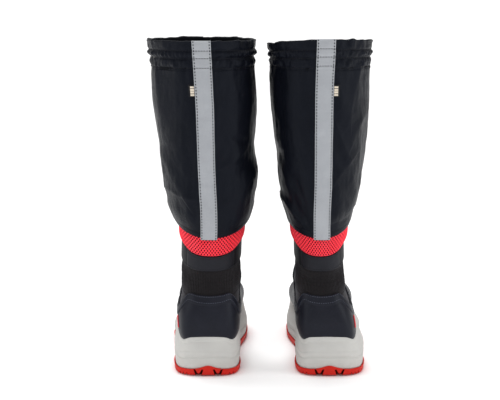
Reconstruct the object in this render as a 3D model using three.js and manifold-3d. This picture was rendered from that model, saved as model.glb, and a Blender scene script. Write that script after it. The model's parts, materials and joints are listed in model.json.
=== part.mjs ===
// A pair of pull-on hiking boots with built-in gaiters.
//
// Each boot is a lugged rubber outsole under a deep foam midsole, a stretch bootie with sewn overlays,
// a soft ankle panel that lets the shaft lean, a padded mesh collar, and a calf-high fabric gaiter that
// closes with a front zip and gathers on an elastic inside its top hem.
//
// Units are millimetres, +Z is up, the toes point to +Y, and the pair stands on the plane z = 0.
// The origin is under the middle of the pair's bounding box.

import * as THREE from "three";
import { mergeVertices } from "three/addons/utils/BufferGeometryUtils.js";
import Module from "manifold-3d";

const wasm = await Module();
wasm.setup();

// ---------------------------------------------------------------- driving dimensions
const HEEL_SPACING = 143; // between the two heel centre lines
const OUTSOLE_T = 12; // outsole, lugs included
const LUG_DEPTH = 4.5;
const GAP = 0.3; // between touching pieces
const WALL = 1.3; // gaiter cloth with its lining
const HEM_BOTTOM = 362.5; // lower edge of the top casing
const TOP_BACK = 396; // top edge of the gaiter at the back
const BOOTIE_T = 2.4; // stretch bootie
const OVERLAY_T = 1.7; // sewn overlays
const STRIPE_T = 0.7;
const STRIPE_W = 21.4;
const SLOT_HALF = 5.6; // half the gap that the zip closes
const FRONT_Y0 = 133.5, // front line of the gaiter at z = 205
  FRONT_SLOPE = 0.045; // and how far it leans forward per mm of height
const SIMPLIFY = 0.08; // flat enough to drop a vertex, kept well under GAP

// Each boot: side is +1 for the right one. lean and narrow shape the soft shaft at each height.
const BOOTS = {
  left: {
    side: -1,
    lean: [[0, 0], [60, 0], [76, 0.3], [92, 1.7], [125, 2.4], [173, 3.6], [400, -8.6]],
    narrow: [[0, 1], [72, 1], [84, 0.965], [93, 0.955], [100, 0.975], [118, 0.98], [130, 0.965], [150, 0.965], [165, 0.99], [186, 1]],
    half: [[150, 41.2], [160, 41.3], [173, 42.2], [183, 46.6], [201, 52.2], [225, 55.2], [244, 56], [264, 55.8], [286, 57.4], [298, 58.8], [322, 61.3], [348, 62.2], [364, 61.6], [376, 61.4], [380, 63], [396, 63.6]],
    stripe: [[163, 2.3], [188, 1.8], [235, 1.3], [280, -0.4], [328, -1.7], [397, -1.6]],
    topBack: TOP_BACK,
    frontDrop: 2,
    heelGain: 0,
    wing: [[0, 0], [100, 0]],
    medialDrop: 0,
  },
  right: {
    side: 1,
    lean: [[0, 0], [40, -0.5], [52, -1.8], [65, -3.2], [76, -4.6], [92, -8.2], [125, -9.5], [160, -10.3], [400, -10]],
    narrow: [[0, 1], [40, 0.99], [50, 0.97], [56, 0.955], [65, 0.925], [76, 0.885], [84, 0.855], [93, 0.82], [100, 0.85], [110, 0.815], [130, 0.795], [150, 0.795], [165, 0.85], [186, 0.87]],
    half: [[150, 36.2], [160, 36.3], [173, 36.9], [183, 39.6], [201, 44.6], [225, 49.2], [244, 52], [264, 54.2], [286, 56], [298, 56.8], [322, 58.3], [348, 59.2], [364, 59.2], [376, 59.6], [380, 60.4], [396, 61.4]],
    stripe: [[163, 1.4], [188, 1.1], [235, 2], [328, 2.4], [397, 4.4]],
    topBack: TOP_BACK + 3.4,
    frontDrop: 10,
    heelGain: 0.045,
    wing: [[0, 0.6], [30, 0.6], [60, -3.4], [100, -3.4]],
    medialDrop: 4.5,
  },
};

// ---------------------------------------------------------------- small helpers
const lerp = THREE.MathUtils.lerp;
function table(points, x) {
  if (x <= points[0][0]) return points[0][1];
  for (let k = 1; k < points.length; k++)
    if (x <= points[k][0])
      return lerp(points[k - 1][1], points[k][1], (x - points[k - 1][0]) / (points[k][0] - points[k - 1][0]));
  return points[points.length - 1][1];
}
const smooth = (t) => t * t * (3 - 2 * t);
const power = (v, n) => Math.sign(v) * Math.pow(Math.abs(v), 2 / n);

// Merges shared corners, drops the triangles that closed up, and turns the surface to face out.
function closed(geometry) {
  const g = geometry.index ? geometry.toNonIndexed() : geometry.clone();
  g.deleteAttribute("normal");
  g.deleteAttribute("uv");
  const merged = mergeVertices(g, 1e-4);
  const index = merged.index.array, p = merged.attributes.position.array, kept = [];
  let volume = 0;
  for (let i = 0; i < index.length; i += 3) {
    const [a, b, c] = [index[i], index[i + 1], index[i + 2]];
    if (a === b || b === c || a === c) continue;
    kept.push(a, b, c);
    const A = new THREE.Vector3().fromArray(p, a * 3), B = new THREE.Vector3().fromArray(p, b * 3), C = new THREE.Vector3().fromArray(p, c * 3);
    volume += A.dot(B.cross(C)) / 6;
  }
  if (volume < 0) for (let i = 0; i < kept.length; i += 3) [kept[i + 1], kept[i + 2]] = [kept[i + 2], kept[i + 1]];
  merged.setIndex(kept);
  return merged;
}
function solid(geometry) {
  const g = closed(geometry);
  return new wasm.Manifold(new wasm.Mesh({ numProp: 3, vertProperties: new Float32Array(g.attributes.position.array), triVerts: new Uint32Array(g.index.array) }));
}
function geometryOf(manifold) {
  const m = manifold.getMesh(), n = m.numProp, v = new Float32Array(m.numVert * 3);
  for (let i = 0; i < m.numVert; i++) v.set(m.vertProperties.subarray(i * n, i * n + 3), i * 3);
  return new THREE.BufferGeometry().setAttribute("position", new THREE.BufferAttribute(v, 3)).setIndex(new THREE.BufferAttribute(new Uint32Array(m.triVerts), 1));
}
function largest(manifold) {
  return manifold.decompose().sort((a, b) => b.volume() - a.volume())[0];
}

// A band of closed section that runs once round the leg: place(j, turn) puts corner j of the section.
function ringBand(corners, segments, place) {
  const profile = [];
  for (let j = 0; j <= corners; j++) profile.push(new THREE.Vector2(3 + Math.cos((j / corners) * 2 * Math.PI), Math.sin((j / corners) * 2 * Math.PI)));
  const g = new THREE.LatheGeometry(profile, segments), p = g.attributes.position;
  for (let s = 0; s <= segments; s++)
    for (let j = 0; j <= corners; j++) p.setXYZ(s * (corners + 1) + j, ...place(j % corners, (s % segments) / segments));
  return closed(g);
}
// A full body of revolution that is then shaped: the first and last corner lie on its axis.
function fullTurn(corners, segments, place) {
  const profile = [];
  for (let j = 0; j < corners; j++) profile.push(new THREE.Vector2(Math.sin((j / (corners - 1)) * Math.PI), -Math.cos((j / (corners - 1)) * Math.PI)));
  const g = new THREE.LatheGeometry(profile, segments), p = g.attributes.position;
  for (let s = 0; s <= segments; s++)
    for (let j = 0; j < corners; j++) p.setXYZ(s * corners + j, ...place(j, (s % segments) / segments));
  return closed(g);
}
// A thin curved plate: place(u, v, w) shapes a box that is cut into nu by nv cells, w is 0 inside and 1 outside.
function plate(nu, nv, place, nw = 1) {
  const g = new THREE.BoxGeometry(1, 1, 1, nu, nv, nw), p = g.attributes.position;
  for (let i = 0; i < p.count; i++) p.setXYZ(i, ...place(p.getX(i) + 0.5, p.getY(i) + 0.5, p.getZ(i) + 0.5));
  return closed(g);
}

// ---------------------------------------------------------------- sole
// Plan outline of the midsole, lateral side positive, from the back of the heel round the lateral side to the toe.
const OUTLINE = new THREE.CatmullRomCurve3(
  [
    [0, 0], [16, 1.4], [27, 6.2], [35, 15.5], [39.6, 30], [41.8, 48], [42.4, 66], [41.8, 88], [40, 115], [40.3, 142], [43.5, 168], [47.5, 193], [48.8, 216], [46.8, 239], [41, 260], [32, 278], [20, 291.5], [6, 299.5], [-9, 302],
    [-21.5, 298.5], [-33, 288], [-41, 270], [-45, 248], [-46, 225], [-44.8, 200], [-41, 174], [-36.5, 148], [-34, 122], [-34.6, 96], [-37, 70], [-38, 48], [-36.6, 30], [-32.8, 15.5], [-26, 6.2], [-16, 1.4],
  ].map(([u, y]) => new THREE.Vector3(u, y, 0)),
  true,
);
const SOLE_CENTRE = new THREE.Vector2(-1.5, 150);
const ground = (y) => (y > 215 ? 14 * Math.pow((y - 215) / 87, 2) : y < 22 ? 1.6 * Math.pow((22 - y) / 22, 2) : 0);
const RIM = [[0, 47], [1.4, 46.6], [3.5, 44.6], [6.5, 42.8], [9, 42.4], [13, 43.4], [19, 46], [26, 49.5], [34, 52.5], [44, 56], [54, 58.6], [66, 60], [86, 58.5], [106, 52.5], [126, 47], [150, 42.5], [180, 39], [215, 37.5], [245, 39.5], [270, 44.5], [290, 51.5], [302, 54.5]];
const FLOOR = [[0, 33.6], [38, 33.6], [65, 33.2], [95, 31.8], [125, 29.8], [155, 27.8], [185, 25.8], [215, 24.8], [245, 25.8], [268, 28.6], [285, 33], [302, 39]];
// The outline at turn t, moved in by inset.
function outlineAt(t, inset) {
  const p = OUTLINE.getPointAt(t), q = OUTLINE.getTangentAt(t);
  return new THREE.Vector2(p.x - q.y * inset * 1, p.y + q.x * inset * 1);
}
// Turns a point of a boot's own frame, lateral side positive, into the pair's frame.
const heelX = (boot) => (boot.side * HEEL_SPACING) / 2;
const solePoint = (boot, u, y, z) => {
  const heel = 1 - smooth(Math.min(1, Math.max(0, (y - 90) / 60)));
  return [heelX(boot) + boot.side * u * (1 + boot.heelGain * heel) + table(boot.wing, z), y, z];
};

function soleBody(boot, corners, segments) {
  return fullTurn(corners.length, segments, (j, turn) => {
    const c = corners[j], edge = outlineAt(turn, c.inset || 0);
    const u = lerp(SOLE_CENTRE.x, edge.x, c.r), y = lerp(SOLE_CENTRE.y, edge.y, c.r);
    return solePoint(boot, u, y, c.z(y, edge.y));
  });
}
function box(cx, cy, cz, w, l, h, yaw = 0) {
  return new THREE.BoxGeometry(w, l, h).rotateZ(yaw).translate(cx, cy, cz);
}
function outsoleBlank(boot) {
  return solid(
    soleBody(boot, [
      { r: 0, z: (y) => ground(y) },
      { r: 0.45, z: (y) => ground(y) },
      { r: 0.8, z: (y) => ground(y) },
      { r: 1, inset: 1.6, z: (y) => ground(y) },
      { r: 1, inset: 0.2, z: (y) => ground(y) + 4 },
      { r: 1, inset: -0.4, z: (y) => ground(y) + OUTSOLE_T },
      { r: 1, inset: 2, z: (y) => ground(y) + OUTSOLE_T },
      { r: 0.8, z: (y) => ground(y) + OUTSOLE_T },
      { r: 0.45, z: (y) => ground(y) + OUTSOLE_T },
      { r: 0, z: (y) => ground(y) + OUTSOLE_T },
    ], 36),
  );
}
function outsole(boot) {
  let s = outsoleBlank(boot);
  const hx = heelX(boot);
  // Grooves between the lugs, open at the sides.
  for (const [y, yaw] of [[48, 0.1], [74, -0.1], [104, 0.12], [133, -0.12], [160, 0.1], [186, -0.1], [211, 0.1], [236, -0.1], [260, 0.1], [281, -0.1]])
    s = s.subtract(solid(box(hx, y, ground(y) + LUG_DEPTH - 10, 130, 6, 20, boot.side * yaw)));
  s = s.subtract(solid(box(hx - 2 * boot.side, 165, LUG_DEPTH - 10, 7, 236, 20)));
  // Two V-shaped notches in the back of the heel.
  for (const dx of [-11.5, 11.5]) {
    const v = new THREE.Shape([new THREE.Vector2(-4.2, -1), new THREE.Vector2(4.2, -1), new THREE.Vector2(0, 8.6)]);
    s = s.subtract(solid(new THREE.ExtrudeGeometry(v, { depth: 24, bevelEnabled: false }).rotateX(Math.PI / 2).translate(hx + dx, 14, 0)));
  }
  return s;
}

// ---------------------------------------------------------------- upper
// Sections of the bootie from the toe to the top of the collar. Each runs from a point on the sole or back line
// to a point on the instep or front line: [back y, back z, front y, front z, half width, squareness, shift to lateral].
const SECTIONS = [
  [293, 42, 294, 51, 11, 2.2, -9],
  [284, 35.5, 281, 62, 24, 2.3, -8],
  [266, 30.5, 259, 71.5, 34.2, 2.2, -4],
  [243, 27.5, 236, 77, 39.6, 2.12, -0.2],
  [214, 26.5, 211, 84, 39.4, 2.05, 1],
  [184, 27.5, 187, 93, 36.2, 2.08, 1.6],
  [154, 29.5, 167.5, 104, 34.2, 2.3, 1.8],
  [122, 31, 155, 114.5, 34, 2.5, 1.6],
  [90, 32, 147.5, 122.5, 35, 2.7, 0.6],
  [58, 32.5, 142.5, 128.5, 36, 2.9, 0.3],
  [28, 33.5, 139.5, 132.5, 36.4, 3, 0],
  [11, 42, 137.3, 136.5, 36.2, 2.95, 0],
  [6.5, 60, 135.2, 140.7, 36, 2.85, 0],
  [8.5, 82, 133, 145.2, 36, 2.65, 0],
  [13.5, 101.5, 131, 149.7, 36, 2.45, 0],
  [17, 117.5, 129.3, 154.5, 36, 2.3, 0],
  [18, 132, 128, 160.5, 36, 2.25, 0],
  [17, 146, 127, 167.5, 36, 2.2, 0],
  [15.5, 160, 126, 175.5, 36, 2.2, 0],
  [14.5, 174, 125.5, 184.5, 36, 2.2, 0],
  [13.5, 186, 125.3, 194, 36, 2.2, 0],
];
const LAST = SECTIONS.length - 1;
// How much squarer the heel's side of each section is: [section, added squareness].
const HEEL_SQUARE = [[7, 0], [8, 0.8], [9, 2.2], [10, 3], [11, 2.6], [12, 1.6], [13, 0.7], [14.5, 0]];
function section(i) {
  const k = Math.min(Math.max(Math.floor(i), 0), LAST - 1), t = i - k;
  const at = (n) => SECTIONS[Math.min(Math.max(n, 0), LAST)];
  const [a, b, c, d] = [at(k - 1), at(k), at(k + 1), at(k + 2)];
  return b.map((_, m) => 0.5 * (2 * b[m] + (c[m] - a[m]) * t + (2 * a[m] - 5 * b[m] + 4 * c[m] - d[m]) * t * t + (3 * b[m] - a[m] - 3 * c[m] + d[m]) * t * t * t));
}
// A point of the bootie's outer surface: turn 0 is the front line, 0.25 the lateral side, 0.5 the back or sole line.
function bootiePoint(boot, i, turn) {
  const [by, bz, fy, fz, w, square, shift] = section(i), a = turn * 2 * Math.PI;
  const n = square + table(HEEL_SQUARE, i) * Math.pow((1 - Math.cos(a)) / 2, 2);
  const along = (1 + power(Math.cos(a), n)) / 2, y = lerp(by, fy, along), z = lerp(bz, fz, along);
  const u = (shift + w * power(Math.sin(a), n)) * table(boot.narrow, z);
  return new THREE.Vector3(heelX(boot) + boot.side * u + table(boot.lean, z), y, z);
}
function bootieAt(boot, i, turn, offset) {
  const e = 0.04, i0 = Math.max(0, i - e), i1 = Math.min(LAST, i + e);
  const di = bootiePoint(boot, i1, turn).sub(bootiePoint(boot, i0, turn));
  const dt = bootiePoint(boot, i, turn + 0.008).sub(bootiePoint(boot, i, turn - 0.008));
  const n = di.cross(dt).normalize().multiplyScalar(boot.side);
  return bootiePoint(boot, i, turn).addScaledVector(n, offset);
}
// The whole bootie as a full solid, grown by offset.
const RINGS = [0, 1, 2, 3.2, 4.6, 6, 7.5, 9, 10.2, 11.2, 12.4, 13.8, 15, 16.4, 18, 20];
const skins = new Map();
function skin(name, offset) {
  const key = name + offset, boot = BOOTS[name];
  if (!skins.has(key)) {
    const tip = bootiePoint(boot, 0, 0).add(bootiePoint(boot, 0, 0.5)).multiplyScalar(0.5);
    const cap = bootiePoint(boot, LAST, 0).add(bootiePoint(boot, LAST, 0.5)).multiplyScalar(0.5);
    skins.set(key, solid(fullTurn(RINGS.length + 2, 24, (j, turn) => {
      if (j === 0) return [tip.x, tip.y + 3 + offset, tip.z];
      if (j === RINGS.length + 1) return [cap.x, cap.y, cap.z];
      return bootieAt(boot, RINGS[j - 1], turn, offset).toArray();
    })));
  }
  return skins.get(key);
}
const layer = (name, inner, outer) => skin(name, outer).subtract(skin(name, inner));
// Everything inside a side-view outline given as [y, z] corners, from x0 to x1.
function sideCut(points, x0, x1) {
  const shape = new THREE.Shape(points.map(([y, z]) => new THREE.Vector2(y, z)));
  const g = new THREE.ExtrudeGeometry(shape, { depth: x1 - x0, bevelEnabled: false });
  g.applyMatrix4(new THREE.Matrix4().set(0, 0, 1, x0, 1, 0, 0, 0, 0, 1, 0, 0, 0, 0, 0, 1));
  return solid(g);
}
const bothSides = (boot, points) => sideCut(points, heelX(boot) - 80, heelX(boot) + 80);
function oneSide(boot, lateral, points) {
  const towards = boot.side * (lateral ? 1 : -1);
  return towards > 0 ? sideCut(points, heelX(boot), heelX(boot) + 80) : sideCut(points, heelX(boot) - 80, heelX(boot));
}

// Side-view lines, back to front, that the ankle's pieces share.
const FLEX_LOW = [[-30, 91], [8, 93], [40, 99], [70, 104], [100, 110], [122, 118], [138, 128], [170, 146]];
const FLEX_HIGH = [[-30, 121], [16, 123], [35, 127], [60, 133], [85, 139], [110, 147], [130, 156], [170, 172]];
const BAND_TOP = [[-30, 139], [14, 140.5], [25, 144], [40, 151.5], [55, 158.5], [72, 165], [90, 170], [110, 174.5], [130, 178.5], [170, 186]];
const raise = (line, d) => line.map(([y, z]) => [y, z + d]);
const between = (low, high) => [...low, ...[...high].reverse()];

// ---------------------------------------------------------------- gaiter
const gaiterBack = [[150, 9.6], [160, 9], [173, 6.2], [190, 1.5], [215, -1.8], [250, -3.6], [300, -4.8], [345, -4.8], [400, -3.5]];
const frontLine = (z) => (z >= 205 ? FRONT_Y0 + FRONT_SLOPE * (z - 205) : lerp(130.6, FRONT_Y0, smooth(Math.max(0, (z - 160) / 45))));
function gaiterPoint(boot, turn, z, offset) {
  const a = turn * 2 * Math.PI, half = table(boot.half, z) + offset;
  const back = table(gaiterBack, z) - offset, front = frontLine(z) + offset;
  const cy = (back + front) / 2, depth = (front - back) / 2;
  return [heelX(boot) + table(boot.lean, z) + boot.side * half * power(Math.sin(a), 2.15), cy + depth * power(Math.cos(a), 2.15), z];
}
// Lower edge: lowest at the back. Upper edge: level, or lower at the front.
const lowerEdge = (turn) => 176.5 + 12.5 * Math.cos(turn * 2 * Math.PI) + 3 * Math.pow(Math.sin(turn * 2 * Math.PI), 2);
function upperEdge(boot, turn) {
  const a = turn * 2 * Math.PI;
  return boot.topBack - (boot.frontDrop * (1 + Math.cos(a))) / 2 - (boot.medialDrop * (1 - Math.sin(a))) / 2 * (1 - 0.4 * Math.abs(Math.cos(a)));
}
// The turn at which a line that stands d mm to the lateral side of the front or back line lies.
function turnAt(boot, z, d, back) {
  const s = Math.sign(d) * Math.pow(Math.min(1, Math.abs(d) / table(boot.half, z)), 2.15 / 2), a = Math.asin(s) / (2 * Math.PI);
  return back ? 0.5 - a : a;
}

const colours = {
  navy: { color: 0x161b27, roughness: 0.55 },
  cloth: { color: 0x11151f, roughness: 0.6 },
  black: { color: 0x141314, roughness: 0.85 },
  red: { color: 0xd21f2c, roughness: 0.8 },
  rubber: { color: 0xd8402f, roughness: 0.6 },
  foam: { color: 0xc9c8c4, roughness: 0.75 },
  silver: { color: 0xa9abb1, roughness: 0.45 },
  board: { color: 0x8d8272, roughness: 0.9 },
  steel: { color: 0x9aa0a6, roughness: 0.35, metalness: 1 },
  zip: { color: 0x0d0e10, roughness: 0.4 },
  label: { color: 0xd9cdbb, roughness: 0.8 },
};

const pair = new THREE.Group();
for (const [name, boot] of Object.entries(BOOTS)) {
  const assembly = new THREE.Group(), hx = heelX(boot);
  const add = (node, geometry, finish) => {
    const g = geometry instanceof THREE.BufferGeometry ? geometry : geometryOf(largest(geometry).simplify(SIMPLIFY));
    const mesh = new THREE.Mesh(g, new THREE.MeshStandardMaterial({ metalness: 0, ...colours[finish] }));
    mesh.name = name + "_" + node;
    assembly.add(mesh);
  };
  const OUT = GAP + OVERLAY_T; // outer face of the overlays

  // Sole unit
  add("outsole", outsole(boot), "rubber");
  const shankPlate = (grow, up) => plate(1, 8, (u, v, w) => {
    const y = lerp(72 - grow, 192 + grow, v), half = 11 + grow;
    return solePoint(boot, lerp(-half, half, u), y, table(FLOOR, y) - 3.4 + lerp(-0.7 - grow, 0.7 + up, w));
  });
  const rim = (y) => table(RIM, y);
  let midsole = solid(
    soleBody(boot, [
      { r: 0, z: (y) => ground(y) + OUTSOLE_T - 2 },
      { r: 0.45, z: (y) => ground(y) + OUTSOLE_T - 2 },
      { r: 0.8, z: (y) => ground(y) + OUTSOLE_T - 2 },
      { r: 1, inset: 2, z: (y) => ground(y) + OUTSOLE_T - 2 },
      { r: 1, inset: 1, z: (y, e) => lerp(ground(e) + OUTSOLE_T, rim(e), 0.2) },
      { r: 1, inset: 0.1, z: (y, e) => lerp(ground(e) + OUTSOLE_T, rim(e), 0.4) },
      { r: 1, inset: 1.4, z: (y, e) => lerp(ground(e) + OUTSOLE_T, rim(e), 0.5) },
      { r: 1, inset: 0.1, z: (y, e) => lerp(ground(e) + OUTSOLE_T, rim(e), 0.58) },
      { r: 1, inset: 0.3, z: (y, e) => lerp(ground(e) + OUTSOLE_T, rim(e), 0.85) },
      { r: 1, inset: 1.6, z: (y, e) => rim(e) },
      { r: 1, inset: 6, z: (y, e) => rim(e) - 0.4 },
      { r: 0.5, z: (y, e) => rim(e) - 3 },
      { r: 0, z: () => 40 },
    ], 36),
  );
  // The steel shank lies in a pocket that opens upwards, under the bootie.
  const underfoot = solid(plate(1, 14, (u, v, w) => {
    const y = lerp(-20, 330, v);
    return [hx + lerp(-90, 90, u), y, w ? table(FLOOR, y) + 3 : -20];
  }));
  midsole = midsole.subtract(outsoleBlank(boot).translate([0, 0, GAP])).subtract(skin(name, GAP)).subtract(skin(name, OUT + GAP).subtract(underfoot));
  midsole = midsole.subtract(solid(shankPlate(GAP, 12)));
  add("midsole", midsole, "foam");
  add("shank", shankPlate(0, 0), "steel");

  // Inside the bootie: board, then footbed
  const inside = skin(name, -BOOTIE_T - GAP);
  const inner = (low, high) => inside.intersect(solid(plate(1, 12, (u, v, w) => {
    const y = lerp(8, 292, v);
    return solePoint(boot, lerp(-60, 60, u), y, table(FLOOR, y) + lerp(low, high, w));
  })));
  add("insole_board", inner(4.2, 6.2), "board");
  add("footbed", inner(6.5, 11), "red");

  // Bootie and its overlays
  const bootie = layer(name, -BOOTIE_T, 0);
  add("bootie", bootie.intersect(bothSides(boot, between([[-30, 10], [330, 10]], [...FLEX_LOW, [330, 190]]))), "black");
  const overlay = layer(name, GAP, OUT).subtract(underfoot.translate([0, 0, GAP]));
  add("toe_cap", overlay.intersect(bothSides(boot, [[252, 22], [250, 40], [254, 60], [262, 90], [330, 90], [330, 22]])), "navy");
  add("vamp", overlay.intersect(bothSides(boot, [[186, 30], [176, 60], [170, 90], [176, 120], [259.5, 120], [253.5, 60.5], [249.5, 40], [251.5, 22], [190, 22]])), "navy");
  const quarter = [[112, 22], [110, 50], [103, 80], [108, 104.5], [126, 113], [142, 116], [160, 104], [169, 91], [175.4, 60], [185.4, 30], [186, 22]];
  add("quarter_lateral", overlay.intersect(oneSide(boot, true, quarter)), "navy");
  add("quarter_medial", overlay.intersect(oneSide(boot, false, quarter)), "navy");
  add("heel_counter", overlay.intersect(bothSides(boot, [[-30, 20], [-30, 94], [8, 95.5], [14, 94.5], [22, 88.5], [31, 82], [42, 78], [60, 76], [80, 75], [103.2, 77], [109.4, 50], [111.4, 22]])), "navy");
  // Thermoplastic stiffener, on the inside of the bootie's heel
  add("heel_stiffener", layer(name, -BOOTIE_T - GAP - 1.3, -BOOTIE_T - GAP).intersect(bothSides(boot, [[-30, 47], [-30, 84], [30, 84], [70, 66], [74, 50]])), "board");
  // A plain bar on the lateral heel
  add("heel_bar", layer(name, OUT + GAP, OUT + GAP + 0.9).intersect(oneSide(boot, true, [[22, 54], [26.5, 54], [33, 68], [28.5, 68]])), "red");

  // Ankle: the ribbed stretch panel joins the boot to its shaft
  add("ankle_stretch_panel", bootie.intersect(bothSides(boot, between(raise(FLEX_LOW, GAP * 1.5), raise(FLEX_HIGH, -GAP * 1.5)))), "black");

  // Shaft: lining tube, collar band, padded mesh collar
  add("collar_lining", bootie.intersect(bothSides(boot, between(FLEX_HIGH, [[-30, 182.5], [15, 183.5], [60, 186.5], [170, 194.5]]))), "black");
  add("collar_band", overlay.intersect(bothSides(boot, between(FLEX_HIGH, BAND_TOP))), "navy");
  add("mesh_collar", layer(name, GAP, GAP + 3.8).intersect(bothSides(boot, between(raise(BAND_TOP, GAP * 1.4), [[-30, 180], [15, 182], [60, 185.5], [100, 188.5], [170, 193.5]]))), "red");

  // Gaiter cloth, open at the front where the zip is
  const gaiterTurn = (u, z) => { const t = turnAt(boot, z, SLOT_HALF, false); return lerp(t, 1 - t, u); };
  const levels = [0, 0.07, 0.18, 0.36, 0.58, 0.8, 1];
  add("gaiter_shell", plate(28, levels.length - 1, (u, v, w) => {
    const k = v * (levels.length - 1), f = levels[Math.round(k)];
    const turn0 = lerp(0.015, 0.985, u), z = lerp(lowerEdge(turn0), HEM_BOTTOM - GAP, f);
    return gaiterPoint(boot, gaiterTurn(u, z), z, w ? 0 : -WALL);
  }), "cloth");
  // Top casing: two layers joined along the top edge, with the elastic between them
  const casing = [[0, 0], [0.35, -0.6], [0.55, 0.6], [0.72, -0.2], [1, 0.3], [1, -4.2], [0.72, -4.6], [0, -4.6], [0, -3.7], [0.68, -3.7], [0.68, -0.9], [0, -0.9]];
  add("top_casing", ringBand(casing.length, 28, (j, turn) => {
    const [h, o] = casing[j];
    return gaiterPoint(boot, turn, lerp(HEM_BOTTOM, upperEdge(boot, turn), h), o);
  }), "cloth");
  const elastic = [[0.28, -1.5], [0.74, -1.5], [0.74, -3.1], [0.28, -3.1]];
  add("hem_elastic", ringBand(4, 28, (j, turn) => {
    const [t, o] = elastic[j], top = lerp(HEM_BOTTOM, upperEdge(boot, turn), 0.68);
    const low = gaiterPoint(boot, turn, HEM_BOTTOM, o), high = gaiterPoint(boot, turn, top, o);
    return low.map((v, k) => lerp(v, high[k], t));
  }), "label");

  // Reflective stripe over the back seam
  const stripeLevels = 10;
  add("reflective_stripe", plate(4, stripeLevels, (u, v, w) => {
    const turn = 0.5, top = upperEdge(boot, turn) + 0.2, z = lerp(162.5, top, v);
    const d = table(boot.stripe, z) + lerp(-0.5, 0.5, u) * (STRIPE_W - 2.6 * (1 - v));
    return gaiterPoint(boot, turnAt(boot, z, d, true), z, 0.9 + (w ? STRIPE_T : 0));
  }), "silver");
  // Small folded label at the stripe's lateral edge
  add("side_label", plate(2, 2, (u, v, w) => {
    const z = lerp(332, 346, v), d = table(boot.stripe, z) + STRIPE_W / 2 + lerp(0.5, 8.5, u);
    return gaiterPoint(boot, turnAt(boot, z, d, true), z, 0.3 + (w ? 1 : 0));
  }), "label");

  // Front zip: tape behind the cloth, teeth in the gap
  const zipBottom = 192;
  add("zip_tape", plate(4, 8, (u, v, w) => {
    const z = lerp(zipBottom, HEM_BOTTOM - 1.5, v), d = lerp(-13, 13, u);
    return gaiterPoint(boot, turnAt(boot, z, d, false), z, -WALL - 0.8 - (w ? 0 : 0.9));
  }), "zip");
  add("zip_teeth", plate(1, 8, (u, v, w) => {
    const z = lerp(zipBottom + 3, HEM_BOTTOM - 4, v), p = gaiterPoint(boot, 0, z, 0);
    return [p[0] + lerp(-2.8, 2.8, u), p[1] - WALL + (w ? 2.1 : 0), z];
  }), "zip");

  // Zip slider and its pull, closed at the top of the teeth
  const SLIDER_Z = 343, seat = gaiterPoint(boot, 0, SLIDER_Z, 0), leanX = (boot.lean[boot.lean.length - 1][1] - boot.lean[boot.lean.length - 2][1]) / (400 - boot.lean[boot.lean.length - 2][0]);
  const aim = new THREE.Matrix4().makeBasis(new THREE.Vector3(1, 0, -leanX).normalize(), new THREE.Vector3(0, 1, -FRONT_SLOPE).normalize(), new THREE.Vector3(leanX, FRONT_SLOPE, 1).normalize());
  aim.setPosition(seat[0], seat[1] - WALL + 2.1, seat[2]);
  const placed = (g) => solid(g.clone().applyMatrix4(aim));
  // Local frame here: x across, y out of the cloth, z up the zip; y = 0 is the front face of the teeth.
  const sliderTop = new THREE.Shape([[-2.9, -7], [2.9, -7], [4.5, 0], [4.5, 5], [2.6, 7.4], [-2.6, 7.4], [-4.5, 5], [-4.5, 0]].map(([x, z]) => new THREE.Vector2(x, z)));
  let slider = placed(new THREE.ExtrudeGeometry(sliderTop, { depth: 1.5, bevelEnabled: false }).rotateX(Math.PI / 2).translate(0, 1.9, 0));
  for (const s of [-1, 1]) slider = slider.add(placed(new THREE.BoxGeometry(1.2, 2.5, 9).translate(s * 3.85, 0.1, 0.6)));
  // Bridge: two posts and a cross pin that the pull hangs on
  for (const s of [-1, 1]) slider = slider.add(placed(new THREE.BoxGeometry(1.2, 4.6, 2.6).translate(s * 3.1, 3.9, 4)));
  slider = slider.add(placed(new THREE.CylinderGeometry(0.8, 0.8, 6.2, 10).rotateZ(Math.PI / 2).translate(0, 5, 4)));
  add("zip_slider", slider, "steel");
  // Pull: an eye round the pin, and a flat grip below it
  const eye = new THREE.Shape([...Array(14)].map((_, k) => new THREE.Vector2(2.2 * Math.cos((k / 14) * 2 * Math.PI), 2.2 * Math.sin((k / 14) * 2 * Math.PI))));
  eye.holes.push(new THREE.Path([...Array(12)].map((_, k) => new THREE.Vector2(1.15 * Math.cos((k / 12) * 2 * Math.PI), 1.15 * Math.sin((k / 12) * 2 * Math.PI)))));
  let pull = placed(new THREE.ExtrudeGeometry(eye, { depth: 3.4, bevelEnabled: false }).rotateY(Math.PI / 2).translate(-1.7, 5, 4));
  const grip = new THREE.Shape([[-1.7, 0], [1.7, 0], [3.2, -6], [3.6, -26], [2.4, -28.5], [-2.4, -28.5], [-3.6, -26], [-3.2, -6]].map(([x, z]) => new THREE.Vector2(x, z)));
  pull = pull.add(placed(new THREE.ExtrudeGeometry(grip, { depth: 1.7, bevelEnabled: false }).rotateX(Math.PI / 2).translate(0, 6.6, 2.4)));
  add("zip_pull", pull, "zip");

  pair.add(assembly);
}

// The origin goes under the middle of the pair's bounding box.
const middle = new THREE.Box3().setFromObject(pair, true).getCenter(new THREE.Vector3());
for (const assembly of pair.children) assembly.position.set(-middle.x, -middle.y, 0);

export default pair;
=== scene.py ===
# The visual model of the gaiter boots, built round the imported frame.
import json
import math

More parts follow.
